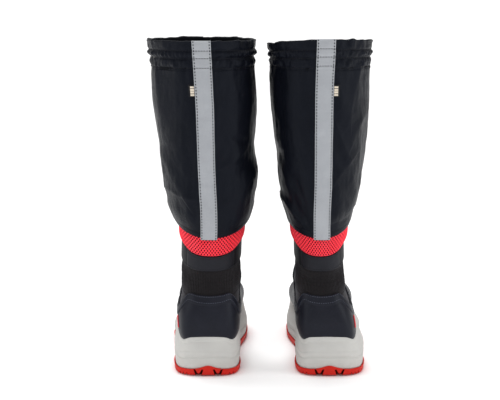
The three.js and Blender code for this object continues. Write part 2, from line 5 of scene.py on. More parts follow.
import bpy
import numpy as np
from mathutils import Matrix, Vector


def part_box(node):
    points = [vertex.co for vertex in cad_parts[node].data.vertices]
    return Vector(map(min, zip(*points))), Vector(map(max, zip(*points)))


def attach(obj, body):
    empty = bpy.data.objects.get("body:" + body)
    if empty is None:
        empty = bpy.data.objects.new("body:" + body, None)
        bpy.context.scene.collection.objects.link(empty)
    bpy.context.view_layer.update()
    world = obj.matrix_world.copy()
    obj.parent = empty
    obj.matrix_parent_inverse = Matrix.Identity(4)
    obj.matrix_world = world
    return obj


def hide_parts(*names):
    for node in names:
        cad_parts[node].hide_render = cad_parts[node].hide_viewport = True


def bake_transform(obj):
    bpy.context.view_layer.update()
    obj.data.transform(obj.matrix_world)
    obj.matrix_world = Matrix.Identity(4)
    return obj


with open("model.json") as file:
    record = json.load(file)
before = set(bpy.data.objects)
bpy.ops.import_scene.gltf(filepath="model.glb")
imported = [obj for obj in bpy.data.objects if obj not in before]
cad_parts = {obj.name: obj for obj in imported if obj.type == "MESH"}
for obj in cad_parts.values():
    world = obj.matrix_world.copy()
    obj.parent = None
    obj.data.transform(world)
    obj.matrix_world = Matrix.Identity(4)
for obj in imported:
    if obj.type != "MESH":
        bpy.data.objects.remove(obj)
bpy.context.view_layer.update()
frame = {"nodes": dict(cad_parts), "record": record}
MM = 0.001

# ------------------------------------------------------------------ where the boots stand
_lo, _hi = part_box("left_outsole"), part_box("right_outsole")
OX = (_lo[0].x + _hi[1].x) / 2 / MM  # middle between the two heels, mm
OY = _lo[0].y / MM + 0.4  # back of the heels, mm
HALF_SPACING = 71.5
GAP, WALL, BOOTIE_T, OUT = 0.3, 1.3, 2.4, 2.0
HEM_BOTTOM = 362.5

BOOTS = {
    "left": dict(
        side=-1,
        lean=[(0, 0), (60, 0), (76, 0.3), (92, 1.7), (125, 2.4), (173, 3.6), (290, -2.69), (400, -8.6)],
        narrow=[(0, 1), (72, 1), (84, 0.965), (93, 0.955), (100, 0.975), (118, 0.98), (130, 0.965), (150, 0.965), (165, 0.99), (186, 1)],
        half=[(150, 41.2), (160, 41.3), (173, 42.2), (183, 46.6), (201, 52.2), (225, 55.2), (244, 56), (264, 55.8), (286, 57.4), (298, 58.8), (322, 61.3), (348, 62.2), (364, 61.6), (376, 61.4), (380, 63), (396, 63.6)],
        stripe=[(163, 2.3), (188, 1.8), (235, 1.3), (280, -0.4), (328, -1.7), (397, -1.6)],
        top_back=396.0,
        front_drop=2,
        heel_gain=0.0,
        wing=[(0, 0), (100, 0)],
        medial_drop=0,
        seed=11,
    ),
    "right": dict(
        side=1,
        lean=[(0, 0), (40, -0.5), (52, -1.8), (65, -3.2), (76, -4.6), (92, -8.2), (125, -9.5), (160, -10.3), (400, -10)],
        narrow=[(0, 1), (40, 0.99), (50, 0.97), (56, 0.955), (65, 0.925), (76, 0.885), (84, 0.855), (93, 0.82), (100, 0.84), (110, 0.815), (130, 0.795), (150, 0.795), (165, 0.85), (186, 0.87)],
        half=[(150, 36.2), (160, 36.3), (173, 36.9), (183, 39.6), (201, 44.6), (225, 49.2), (244, 52), (264, 54.2), (286, 56), (298, 56.8), (322, 58.3), (348, 59.2), (364, 59.2), (376, 59.6), (380, 60.4), (396, 61.4)],
        stripe=[(163, 1.4), (188, 1.1), (235, 2), (328, 2.4), (397, 4.4)],
        top_back=399.4,
        front_drop=10,
        heel_gain=0.045,
        wing=[(0, 0.6), (30, 0.6), (60, -3.4), (100, -3.4)],
        medial_drop=4.5,
        seed=29,
    ),
}
GAITER_BACK = [(150, 9.6), (160, 9), (173, 6.2), (190, 1.5), (215, -1.8), (250, -3.6), (300, -4.8), (345, -4.8), (400, -3.5)]
SECTIONS = np.array([
    [293, 42, 294, 51, 11, 2.2, -9], [284, 35.5, 281, 62, 24, 2.3, -8], [266, 30.5, 259, 71.5, 34.2, 2.2, -4],
    [243, 27.5, 236, 77, 39.6, 2.12, -0.2], [214, 26.5, 211, 84, 39.4, 2.05, 1], [184, 27.5, 187, 93, 36.2, 2.08, 1.6],
    [154, 29.5, 167.5, 104, 34.2, 2.3, 1.8], [122, 31, 155, 114.5, 34, 2.5, 1.6], [90, 32, 147.5, 122.5, 35, 2.7, 0.6],
    [58, 32.5, 142.5, 128.5, 36, 2.9, 0.3], [28, 33.5, 139.5, 132.5, 36.4, 3, 0], [11, 42, 137.3, 136.5, 36.2, 2.95, 0],
    [6.5, 60, 135.2, 140.7, 36, 2.85, 0], [8.5, 82, 133, 145.2, 36, 2.65, 0], [13.5, 101.5, 131, 149.7, 36, 2.45, 0],
    [17, 117.5, 129.3, 154.5, 36, 2.3, 0], [18, 132, 128, 160.5, 36, 2.25, 0], [17, 146, 127, 167.5, 36, 2.2, 0],
    [15.5, 160, 126, 175.5, 36, 2.2, 0], [14.5, 174, 125.5, 184.5, 36, 2.2, 0], [13.5, 186, 125.3, 194, 36, 2.2, 0]], float)
LAST = len(SECTIONS) - 1
OUTLINE = np.array([
    (0, 0), (16, 1.4), (27, 6.2), (35, 15.5), (39.6, 30), (41.8, 48), (42.4, 66), (41.8, 88), (40, 115), (40.3, 142), (43.5, 168), (47.5, 193), (48.8, 216), (46.8, 239), (41, 260), (32, 278), (20, 291.5), (6, 299.5), (-9, 302),
    (-21.5, 298.5), (-33, 288), (-41, 270), (-45, 248), (-46, 225), (-44.8, 200), (-41, 174), (-36.5, 148), (-34, 122), (-34.6, 96), (-37, 70), (-38, 48), (-36.6, 30), (-32.8, 15.5), (-26, 6.2), (-16, 1.4)], float)
RIM = [(0, 46.6), (1.4, 46.5), (3.5, 46), (6.5, 44.4), (10, 42.6), (13.5, 42), (17, 43), (22, 46), (28, 49.8), (35, 52.8), (44, 56), (54, 58.6), (66, 60), (86, 58.5), (106, 52.5), (126, 47), (150, 42.5), (180, 39), (215, 37.5), (245, 39.5), (270, 43.5), (290, 48), (302, 49.5)]
FLOOR = [(0, 33.6), (38, 33.6), (65, 33.2), (95, 31.8), (125, 29.8), (155, 27.8), (185, 25.8), (215, 24.8), (245, 25.8), (268, 28.6), (285, 33), (302, 39)]
FLEX_LOW = [(-30, 91), (8, 93), (40, 99), (70, 104), (100, 110), (122, 118), (138, 128), (170, 146)]
FLEX_HIGH = [(-30, 121), (16, 123), (35, 127), (60, 133), (85, 139), (110, 147), (130, 156), (170, 172)]
BAND_TOP = [(-30, 139), (14, 140.5), (25, 144), (40, 151.5), (55, 158.5), (72, 165), (90, 170), (110, 174.5), (130, 178.5), (170, 186)]
# how much squarer the heel's side of each section is
HEEL_SQUARE = np.array([(7, 0), (8, 0.8), (9, 2.2), (10, 3), (11, 2.6), (12, 1.6), (13, 0.7), (14.5, 0)], float)


# ------------------------------------------------------------------ curves and noise
def smooth_table(points):
    """A smooth curve through points that doesn't overshoot them."""
    x, y = np.array(points, float).T
    d = np.diff(y) / np.diff(x)
    m = np.zeros_like(y)
    m[0], m[-1] = d[0], d[-1]
    for k in range(1, len(y) - 1):
        if d[k - 1] * d[k] > 0:
            w1, w2 = 2 * (x[k + 1] - x[k]) + x[k] - x[k - 1], x[k + 1] - x[k] + 2 * (x[k] - x[k - 1])
            m[k] = (w1 + w2) / (w1 / d[k - 1] + w2 / d[k])

    def f(q):
        q = np.clip(np.asarray(q, float), x[0], x[-1])
        k = np.clip(np.searchsorted(x, q, side="right") - 1, 0, len(x) - 2)
        h = x[k + 1] - x[k]
        t = (q - x[k]) / h
        return (y[k] * (1 + 2 * t) * (1 - t) ** 2 + h * m[k] * t * (1 - t) ** 2 + y[k + 1] * t * t * (3 - 2 * t) + h * m[k + 1] * t * t * (t - 1))

    return f


rim_z, floor_z = smooth_table(RIM), smooth_table(FLOOR)
flex_low, flex_high, band_top = smooth_table(FLEX_LOW), smooth_table(FLEX_HIGH), smooth_table(BAND_TOP)
gaiter_back = smooth_table(GAITER_BACK)
for b in BOOTS.values():
    for key in ("lean", "narrow", "half", "stripe", "wing"):
        b[key] = smooth_table(b[key])
    b["hx"] = b["side"] * HALF_SPACING + OX


def ground(y):
    y = np.asarray(y, float)
    return np.where(y > 215, 14 * np.clip((y - 215) / 87, 0, 2) ** 2, 0) + np.where(y < 22, 1.6 * np.clip((22 - y) / 22, 0, 2) ** 2, 0)


def step(a, b, x):
    t = np.clip((np.asarray(x, float) - a) / (b - a), 0, 1)
    return t * t * (3 - 2 * t)


def bump(x, centre, width):
    return np.exp(-(((np.asarray(x, float) - centre) / width) ** 2))


def _hash(i, j, k, seed):
    n = (i * 374761393 + j * 668265263 + k * 1274126177 + seed * 974711) & 0xFFFFFFFF
    n = ((n ^ (n >> 13)) * 1274126177) & 0xFFFFFFFF
    return ((n ^ (n >> 16)) & 0xFFFF) / 32767.5 - 1


def noise(x, y, z, seed=0):
    """Smooth noise from -1 to 1."""
    x, y, z = np.broadcast_arrays(*(np.asarray(v, float) for v in (x, y, z)))
    i, j, k = (np.floor(v).astype(np.int64) for v in (x, y, z))
    f = [v - w for v, w in ((x, i), (y, j), (z, k))]
    u = [t * t * t * (t * (t * 6 - 15) + 10) for t in f]
    total = 0
    for a in (0, 1):
        for b in (0, 1):
            for c in (0, 1):
                w = (u[0] if a else 1 - u[0]) * (u[1] if b else 1 - u[1]) * (u[2] if c else 1 - u[2])
                total = total + w * _hash(i + a, j + b, k + c, seed)
    return total


def fbm(x, y, z, seed=0, octaves=3):
    return sum(noise(x * 2**o, y * 2**o, z * 2**o, seed + 17 * o) / 2**o for o in range(octaves))


def catmull(columns, i):
    i = np.asarray(i, float)
    k = np.clip(np.floor(i).astype(int), 0, len(columns) - 2)
    t = (i - k)[..., None]
    n = len(columns) - 1
    a, b, c, d = columns[np.clip(k - 1, 0, n)], columns[k], columns[k + 1], columns[np.clip(k + 2, 0, n)]
    return 0.5 * (2 * b + (c - a) * t + (2 * a - 5 * b + 4 * c - d) * t * t + (3 * b - a - 3 * c + d) * t**3)


def rounded(phi, n):
    """Superellipse point at phase phi: (towards the front, towards the lateral side), each from -1 to 1."""
    c, s = np.cos(phi), np.sin(phi)
    r = (np.abs(c) ** n + np.abs(s) ** n) ** (-1 / n)
    return r * c, r * s


# ------------------------------------------------------------------ the bootie's surface
def skin_base(b, i, t):
    s = catmull(SECTIONS, i)
    phi = 2 * np.pi * np.asarray(t, float)
    c, u = np.abs(np.cos(phi)), np.abs(np.sin(phi))
    extra, n = np.interp(i, *HEEL_SQUARE.T), s[..., 5]
    for _ in range(5):
        side = np.sign(np.cos(phi)) * c ** (n / 2) / np.sqrt(c**n + u**n)
        n = s[..., 5] + extra * ((1 - side) / 2) ** 2
    c, u = rounded(phi, n)
    along = (1 + c) / 2
    y = s[..., 0] + (s[..., 2] - s[..., 0]) * along
    z = s[..., 1] + (s[..., 3] - s[..., 1]) * along
    x = (s[..., 6] + s[..., 4] * u) * b["narrow"](z)
    return np.stack([b["hx"] + b["side"] * x + b["lean"](z), y + OY, z], -1)


NI, NT = 401, 481
for b in BOOTS.values():
    ii, tt = np.meshgrid(np.linspace(0, LAST, NI), np.linspace(0, 1, NT), indexing="ij")
    P = skin_base(b, ii, tt)
    di = np.gradient(P, axis=0)
    wrapped = np.concatenate([P[:, -2:-1], P, P[:, 1:2]], 1)
    dt = wrapped[:, 2:] - wrapped[:, :-2]
    n = np.cross(di, dt) * b["side"]
    n /= np.linalg.norm(n, axis=-1, keepdims=True) + 1e-12
    b["P"], b["N"] = P, n


def grid_at(g, i, t):
    """Bilinear look-up in a (section, turn) grid."""
    a = np.clip(np.asarray(i, float) / LAST * (NI - 1), 0, NI - 1.000001)
    c = np.mod(np.asarray(t, float), 1) * (NT - 1)
    a0, c0 = np.floor(a).astype(int), np.clip(np.floor(c).astype(int), 0, NT - 2)
    fa, fc = (a - a0)[..., None], (c - c0)[..., None]
    return (g[a0, c0] * (1 - fa) + g[a0 + 1, c0] * fa) * (1 - fc) + (g[a0, c0 + 1] * (1 - fa) + g[a0 + 1, c0 + 1] * fa) * fc


def skin(b, i, t, off=0.0):
    n = grid_at(b["N"], i, t)
    n = n / (np.linalg.norm(n, axis=-1, keepdims=True) + 1e-12)
    return grid_at(b["P"], i, t) + n * np.asarray(off, float)[..., None]


def row_of(b, line, t):
    """The section at which each turn crosses a side-view line, looking down from the collar."""
    z = b["P"][..., 2] - line(b["P"][..., 1] - OY)
    i0 = np.zeros(NT)
    for c in range(NT):
        below = np.where(z[:, c] < 0)[0]
        k = below[-1] if len(below) else 0
        i0[c] = k if k >= NI - 1 else k + z[k, c] / (z[k, c] - z[k + 1, c])
    return np.interp(np.mod(t, 1), np.linspace(0, 1, NT), i0 * LAST / (NI - 1))


# ------------------------------------------------------------------ the gaiter's surface
def front_line(z):
    z = np.asarray(z, float)
    return np.where(z >= 205, 133.5 + 0.045 * (z - 205), 130.6 + 2.9 * step(160, 205, z))


def gaiter_base(b, t, z, off=0.0):
    half = b["half"](z) + off
    back, front = gaiter_back(z) - off, front_line(z) + off
    c, u = rounded(2 * np.pi * np.asarray(t, float), 2.15)
    return np.stack([b["hx"] + b["lean"](z) + b["side"] * half * u, (back + front) / 2 + (front - back) / 2 * c + OY, z + 0 * c], -1)


def turn_at(b, z, d, back):
    """The turn of the line d mm to the lateral side of the back or front line."""
    want = np.clip(np.asarray(d, float) / b["half"](z), -0.98, 0.98)
    phi = np.linspace(-np.pi / 2, np.pi / 2, 721)
    t = np.interp(want, rounded(phi, 2.15)[1], phi / (2 * np.pi))
    return 0.5 - t if back else t


def lower_edge(t):
    a = 2 * np.pi * np.asarray(t, float)
    return 176.5 + 12.5 * np.cos(a) + 3 * np.sin(a) ** 2


def upper_edge(b, t):
    a = 2 * np.pi * np.asarray(t, float)
    return b["top_back"] - b["front_drop"] * (1 + np.cos(a)) / 2 - b["medial_drop"] * (1 - np.sin(a)) / 2 * (1 - 0.4 * np.abs(np.cos(a)))


def across(b, t, z):
    """How far to the lateral side of the stripe's middle a point of the gaiter's back is, in mm."""
    c, u = rounded(2 * np.pi * np.asarray(t, float), 2.15)
    return np.where(c < 0, b["half"](z) * u - b["stripe"](z), 99 * np.sign(u + 1e-9))


# Folds in the cloth at the back, as strokes: [(height, distance to the lateral side of the heel's middle), ...],
# width, how far it stands out, and how far one side of it steps down (a pleat).
STROKES = {
    "left": [
        ([(368, -35), (336, -34), (293, -31), (272, -30)], 5.5, 1.7, 0.0),
        ([(352, -20), (320, -19), (285, -17)], 6, -0.7, 0.0),
        ([(283, -35), (279, -41), (277, -45)], 3.6, -3.0, 0.0),
        ([(286, -36), (284, -43)], 3.4, 1.5, 0.0),
        ([(272, -30), (270, -44), (271, -58)], 6, -1.5, 0.0),
        ([(245, -57), (229, -43), (211, -32), (188, -24)], 6.5, 2.6, 1.3),
        ([(258, -54), (236, -36), (214, -24)], 5, -1.5, 0.0),
        ([(248, -18), (254, -32), (265, -44)], 3.6, 1.2, 0.8),
        ([(199, -51), (188, -36), (180, -24)], 4.5, 1.4, 0.0),
        ([(262, 57), (249, 49), (228, 40), (214, 32)], 7, 2.4, 1.2),
        ([(270, 46), (250, 38), (232, 28)], 5.5, -1.2, 0.0),
        ([(218, 50), (213, 34), (209, 16)], 4, 1.1, 0.8),
        ([(203, 44), (198, 30), (196, 15)], 4.5, -0.9, 0.0),
        ([(352, 53), (320, 52), (290, 51)], 5, 1.0, 0.0),
        ([(330, 34), (290, 31), (262, 24)], 8, -0.9, 0.0),
    ],
    "right": [
        ([(356, -47), (330, -49), (305, -50), (262, -50)], 6.5, -2.9, 0.0),
        ([(350, -58), (311, -57), (280, -56)], 4.5, 1.6, 0.0),
        ([(318, -30), (293, -31), (270, -30), (249, -28)], 10, 2.4, 0.0),
        ([(262, -47), (243, -38), (222, -25), (206, -16)], 5.0, -2.0, 0.0),
        ([(366, 47), (346, 41), (316, 35), (300, 34)], 4.6, 2.0, 0.9),
        ([(344, 53), (322, 49), (306, 45)], 4.5, -1.2, 0.0),
        ([(307, 54), (294, 44), (277, 37)], 5, 1.5, 0.9),
        ([(302, 17), (281, 25), (261, 33)], 4.2, 1.3, 0.8),
        ([(290, 12), (268, 19), (252, 24)], 5, -0.8, 0.0),
        ([(256, 36), (244, 26), (233, 18)], 4.2, 1.3, 0.7),
        ([(213, -46), (205, -40), (195, -31), (180, -20)], 3.4, 2.4, 1.6),
        ([(218, -24), (206, -14)], 4.5, 1.2, 0.0),
        ([(194, 40), (186, 28), (183, 16)], 4.5, -1.6, 0.8),
        ([(226, 50), (212, 44), (200, 37)], 5.5, 1.5, 0.0),
    ],
}


def folds(b, t, z):
    """How far the cloth stands out from its plain shape, in mm."""
    t, z = np.broadcast_arrays(np.asarray(t, float), np.asarray(z, float))
    seed = b["seed"]
    c, u = rounded(2 * np.pi * t, 2.15)
    x, y = u * 62, c * 70
    body = step(166, 196, z) * (1 - 0.8 * step(352, 368, z))
    d = 1.1 * fbm(x / 40, y / 40, z / 130, seed, 2) * body
    # hanging folds, and broken diagonal ones lower down and at the front
    d = d + 0.75 * fbm(x / 15 + z / 160, y / 15, z / 95, seed + 5, 2) * body
    low = bump(z, 214, 44)
    d = d + (0.9 * low + 0.35) * fbm((x + 0.8 * z) / 24, y / 24, (z - 0.8 * x) / 62, seed + 9, 2) * body
    front = step(-0.1, 0.5, c)
    d = d + front * 1.5 * (0.4 + low) * fbm((x - 0.7 * z) / 27, y / 40, (z + 0.7 * x) / 50, seed + 13, 2) * body
    # fine crumpling of the coated cloth
    d = d + 0.2 * fbm(x / 6.5, y / 6.5, z / 9, seed + 15, 3) * body + 0.3 * fbm((x + 0.4 * z) / 11, y / 13, (z - 0.5 * x) / 26, seed + 19, 2) * body
    # gathers below the lowest stitch row
    calm = 1 - 0.9 * np.exp(-((across(b, t, z) / 12.5) ** 4))
    g = noise(t * 62, 0 * z + 0.3, z / 60, seed + 31) + 0.6 * noise(t * 104, 0 * z + 4.3, z / 40, seed + 33)
    d = d + 1.0 * g * np.exp(-np.clip(365 - z, 0, 400) / 11.0) * calm
    d = d + 1.0 * noise(t * 27, 0 * z + 2.3, z / 90, seed + 35) * np.exp(-np.clip(362 - z, 0, 400) / 34.0) * calm
    lat = b["side"] * (gaiter_base(b, t, z)[..., 0] - b["hx"] - b["lean"](z))
    back = step(0.25, -0.25, c)
    for path, width, height, pleat in STROKES[b["name"]]:
        width, height, pleat = 1.2 * width, 0.6 * height, 0.65 * pleat
        best, signed = np.full(t.shape, 1e9), np.zeros(t.shape)
        for k in range(len(path) - 1):
            (z0, a0), (z1, a1) = path[k], path[k + 1]
            dz, da = z1 - z0, a1 - a0
            q = np.clip(((z - z0) * dz + (lat - a0) * da) / (dz * dz + da * da), 0, 1)
            # the distance to the nearest point of the segment
            r = np.hypot(z - z0 - q * dz, lat - a0 - q * da)
            side = np.sign((lat - a0) * dz - (z - z0) * da)
            signed = np.where(r < best, side * r, signed)
            best = np.minimum(best, r)
        d = d + back * (height * np.exp(-((best / width) ** 2)) + pleat * np.tanh(signed / (0.35 * width)) * np.exp(-((best / (2.2 * width)) ** 2)))
    return d * (0.2 + 0.8 * calm)


for name, b in BOOTS.items():
    b["name"] = name


def gaiter(b, t, z, off=0.0, fold=True):
    o = np.asarray(off, float)
    return gaiter_base(b, t, z, o + (folds(b, t, z) if fold else 0.0))


# ------------------------------------------------------------------ making meshes
def finish_mesh(me, smooth=True, angle=None):
    me.validate()
    if smooth:
        me.shade_smooth()
        if angle:
            me.set_sharp_from_angle(angle=math.radians(angle))


def new_piece(name, verts, faces, materials, body, replaces=(), uv=None, face_mat=None, smooth=True, angle=None):
    me = bpy.data.meshes.new(name)
    me.from_pydata((np.asarray(verts, float).reshape(-1, 3) * MM).tolist(), [], [list(map(int, f)) for f in faces])
    for m in materials if isinstance(materials, (list, tuple)) else [materials]:
        me.materials.append(m)
    if face_mat is not None:
        me.polygons.foreach_set("material_index", np.asarray(face_mat, np.int32))
    if uv is not None:
        layer = me.uv_layers.new(name="UVMap")
        loops = np.empty(len(me.loops), np.int32)
        me.loops.foreach_get("vertex_index", loops)
        layer.data.foreach_set("uv", np.asarray(uv, np.float32)[loops].ravel())
    finish_mesh(me, smooth, angle)
    ob = bpy.data.objects.new(name, me)
    bpy.context.scene.collection.objects.link(ob)
    if body:
        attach(ob, body)
    if replaces:
        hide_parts(*([replaces] if isinstance(replaces, str) else replaces))
    return ob


def quads(nu, nv, close_u=False, close_v=False, base=0, flip=False):
    """Faces of a grid whose vertex (u, v) is base + u * nv + v."""
    u = np.arange(nu if close_u else nu - 1)
    v = np.arange(nv if close_v else nv - 1)
    U, V = np.meshgrid(u, v, indexing="ij")
    U1, V1 = (U + 1) % nu, (V + 1) % nv
    f = np.stack([U * nv + V, U1 * nv + V, U1 * nv + V1, U * nv + V1], -1).reshape(-1, 4) + base
    return f[:, ::-1] if flip else f


def volume(verts, faces):
    v = np.asarray(verts, float).reshape(-1, 3)
    total = 0.0
    f = [x for x in faces]
    tri = np.array([(a[0], a[k], a[k + 1]) for a in f for k in range(1, len(a) - 1)])
    p, q, r = v[tri[:, 0]], v[tri[:, 1]], v[tri[:, 2]]
    return float(np.einsum("ij,ij->i", p, np.cross(q, r)).sum() / 6)


def slab(outer, inner, close_u=False, uv=None):
    """A closed sheet between two grids [u, v, 3]. Returns verts, faces, uv and which faces are inner or rim."""
    nu, nv = outer.shape[:2]
    n = nu * nv
    verts = np.concatenate([outer.reshape(-1, 3), inner.reshape(-1, 3)])
    fo, fi = quads(nu, nv, close_u), quads(nu, nv, close_u, base=n, flip=True)
    rims = []
    us = np.arange(nu if close_u else nu - 1)
    for v, flip in ((0, False), (nv - 1, True)):
        a, c = us * nv + v, ((us + 1) % nu) * nv + v
        f = np.stack([a, a + n, c + n, c], -1)
        rims.append(f[:, ::-1] if flip else f)
    if not close_u:
        vs = np.arange(nv - 1)
        for u, flip in ((0, True), (nu - 1, False)):
            a, c = u * nv + vs, u * nv + vs + 1
            f = np.stack([a, a + n, c + n, c], -1)
            rims.append(f[:, ::-1] if flip else f)
    faces = np.concatenate([fo, fi] + rims)
    kind = np.concatenate([np.zeros(len(fo), int), np.ones(len(fi), int), np.zeros(sum(map(len, rims)), int)])
    if volume(verts, faces) < 0:
        faces = faces[:, ::-1]
    if uv is not None:
        uv = np.concatenate([uv.reshape(-1, 2), uv.reshape(-1, 2)])
    return verts, faces, uv, kind


def torus(grid, uv=None):
    """A ring of closed section: grid [u, section point, 3], closed both ways."""
    nu, nv = grid.shape[:2]
    faces = quads(nu, nv, True, True)
    if volume(grid, faces) < 0:
        faces = faces[:, ::-1]
    return grid.reshape(-1, 3), faces, None if uv is None else uv.reshape(-1, 2)


def spread(length, pitch, edge=1.2):
    """Positions from 0 to length at about pitch, with extra ones by both ends for a rounded edge."""
    ends = [x for x in (0, 0.12, 0.35, 0.7, edge) if x < length / 3]
    inner = np.linspace(ends[-1], length - ends[-1], max(2, int(round((length - 2 * ends[-1]) / pitch)) + 1))
    return np.concatenate([ends[:-1], inner, [length - x for x in ends[:-1]][::-1]])


def round_edge(d, r):
    """How far a rounded edge of radius r lies below the flat, at distance d from the edge."""
    q = np.clip(1 - np.asarray(d, float) / r, 0, 1)
    return r * (1 - np.sqrt(np.clip(1 - q * q, 0, 1)))


def loft_columns(b, low, high, t, v, off):
    """Rows of the bootie between two side-view lines: v from 0 to 1 at each turn."""
    a, c = (row_of(b, line, t) if callable(line) else np.full(len(t), float(line)) for line in (low, high))
    T, V = np.meshgrid(t, v, indexing="ij")
    I = a[:, None] + (c - a)[:, None] * V
    return skin(b, I, T, off), I, T


def polygon_distance(points, y, z):
    """Signed distance inside a polygon, positive inside."""
    pts = np.array(points, float)
    q = np.roll(pts, -1, 0)
    d = np.full(np.shape(y), 1e9)
    inside = np.zeros(np.shape(y), bool)
    for (ay, az), (cy, cz) in zip(pts, q):
        L = (cy - ay) ** 2 + (cz - az) ** 2
        s = np.clip(((y - ay) * (cy - ay) + (z - az) * (cz - az)) / L, 0, 1)
        d = np.minimum(d, np.hypot(y - ay - s * (cy - ay), z - az - s * (cz - az)))
        cross = (az > z) != (cz > z)
        with np.errstate(divide="ignore", invalid="ignore"):
            inside ^= cross & (y < (cy - ay) * (z - az) / ((cz - az) or 1e-9) + ay)
    return np.where(inside, d, -d)


def clip(P, F, extra=None):
    """The part of a grid [u, v, 3] where F >= 0, as verts and faces, cut cleanly along F = 0."""
    nu, nv = F.shape
    F = np.where(np.abs(F) < 1e-4, 1e-4, F)
    keep = F > 0
    corners = [(0, 0), (1, 0), (1, 1), (0, 1)]
    count = sum(keep[a : nu - 1 + a, c : nv - 1 + c].astype(int) for a, c in corners)
    verts, index, faces = [], {}, []

    def vertex(key, make):
        if key not in index:
            index[key] = len(verts)
            verts.append(make())
        return index[key]

    def at(u, v):
        return vertex((u, v), lambda: P[u, v])

    for u, v in zip(*np.where(count > 0)):
        ring = [(u + a, v + c) for a, c in corners]
        if count[u, v] == 4:
            faces.append([at(*p) for p in ring])
            continue
        f = []
        for k in range(4):
            p, q = ring[k], ring[(k + 1) % 4]
            if keep[p]:
                f.append(at(*p))
            if keep[p] != keep[q]:
                lo, hi = (p, q) if p < q else (q, p)
                s = F[lo] / (F[lo] - F[hi])
                s = min(max(s, 0.02), 0.98)
                f.append(vertex((lo, hi), lambda: P[lo] * (1 - s) + P[hi] * s))
        if len(f) >= 3:
            faces.append(f)
    return np.array(verts), faces


def contour(P, F, level):
    """Chains of points along F = level on a grid."""
    G = F - level
    G = np.where(np.abs(G) < 1e-6, 1e-6, G)
    s = G > 0
    mixed = (s[:-1, :-1].astype(int) + s[1:, :-1] + s[1:, 1:] + s[:-1, 1:]) % 4 != 0
    links = {}

    def cut(p, q):
        p, q = (p, q) if p < q else (q, p)
        return (p, q)

    for u, v in zip(*np.where(mixed)):
        ring = [(u, v), (u + 1, v), (u + 1, v + 1), (u, v + 1)]
        e = [cut(ring[k], ring[(k + 1) % 4]) for k in range(4) if s[ring[k]] != s[ring[(k + 1) % 4]]]
        if len(e) == 2:
            links.setdefault(e[0], []).append(e[1])
            links.setdefault(e[1], []).append(e[0])
    place = lambda k: P[k[0]] + (P[k[1]] - P[k[0]]) * (G[k[0]] / (G[k[0]] - G[k[1]]))
    seen, chains = set(), []
    starts = [k for k in links if len(links[k]) == 1] + list(links)
    for k in starts:
        if k in seen:
            continue
        chain = [k]
        seen.add(k)
        while True:
            nxt = [m for m in links[chain[-1]] if m not in seen]
            if not nxt:
                break
            chain.append(nxt[0])
            seen.add(nxt[0])
        if len(chain) > 4:
            chains.append(np.array([place(m) for m in chain]))
    return chains


def resample(path, pitch):
    """Points and directions at an even pitch along a chain of points."""
    path = np.asarray(path, float)
    # a light smoothing takes the grid's steps out
    for _ in range(2):
        path[1:-1] = path[1:-1] * 0.5 + (path[:-2] + path[2:]) * 0.25
    s = np.concatenate([[0], np.cumsum(np.linalg.norm(np.diff(path, axis=0), axis=1))])
    n = max(2, int(s[-1] / pitch))
    q = (np.arange(n) + 0.5) * s[-1] / n
    p = np.stack([np.interp(q, s, path[:, k]) for k in range(3)], -1)
    a = np.stack([np.interp(q - 0.6, s, path[:, k]) for k in range(3)], -1)
    c = np.stack([np.interp(q + 0.6, s, path[:, k]) for k in range(3)], -1)
    d = c - a
    return p, d / (np.linalg.norm(d, axis=1, keepdims=True) + 1e-9)


def stitches(paths, pitch, length, radius, normal=None, sink=0.3):
    """Short thread capsules along paths. normal(points) gives the surface's outward directions."""
    V, F = [], []
    ring = [(math.cos(a), math.sin(a)) for a in np.linspace(0, 2 * math.pi, 7)[:-1]]
    shape = [(-0.5, 0.35, -0.5), (-0.36, 0.9, -0.1), (0, 1.0, 0.25), (0.36, 0.9, -0.1), (0.5, 0.35, -0.5)]
    for path in paths:
        if len(path) < 3:
            continue
        p, d = resample(path, pitch)
        n = normal(p)
        n = n - (n * d).sum(1, keepdims=True) * d
        n /= np.linalg.norm(n, axis=1, keepdims=True) + 1e-9
        w = np.cross(d, n)
        for k in range(len(p)):
            base = len(V)
            for s, r, lift in shape:
                c = p[k] + d[k] * s * length + n[k] * (lift * radius * 0.8 - sink * radius)
                V.extend(c + radius * r * (w[k] * x + n[k] * y) for x, y in ring)
            for a in range(4):
                for m in range(6):
                    F.append([base + a * 6 + m, base + a * 6 + (m + 1) % 6, base + (a + 1) * 6 + (m + 1) % 6, base + (a + 1) * 6 + m])
            F.append([base + m for m in range(5, -1, -1)])
            F.append([base + 24 + m for m in range(6)])
    return np.array(V), F


# ------------------------------------------------------------------ materials
def lin(r, g, b):
    f = lambda c: c / 12.92 if c <= 0.04045 else ((c + 0.055) / 1.055) ** 2.4
    return tuple(f(c / 255) for c in (r, g, b)) + (1.0,)


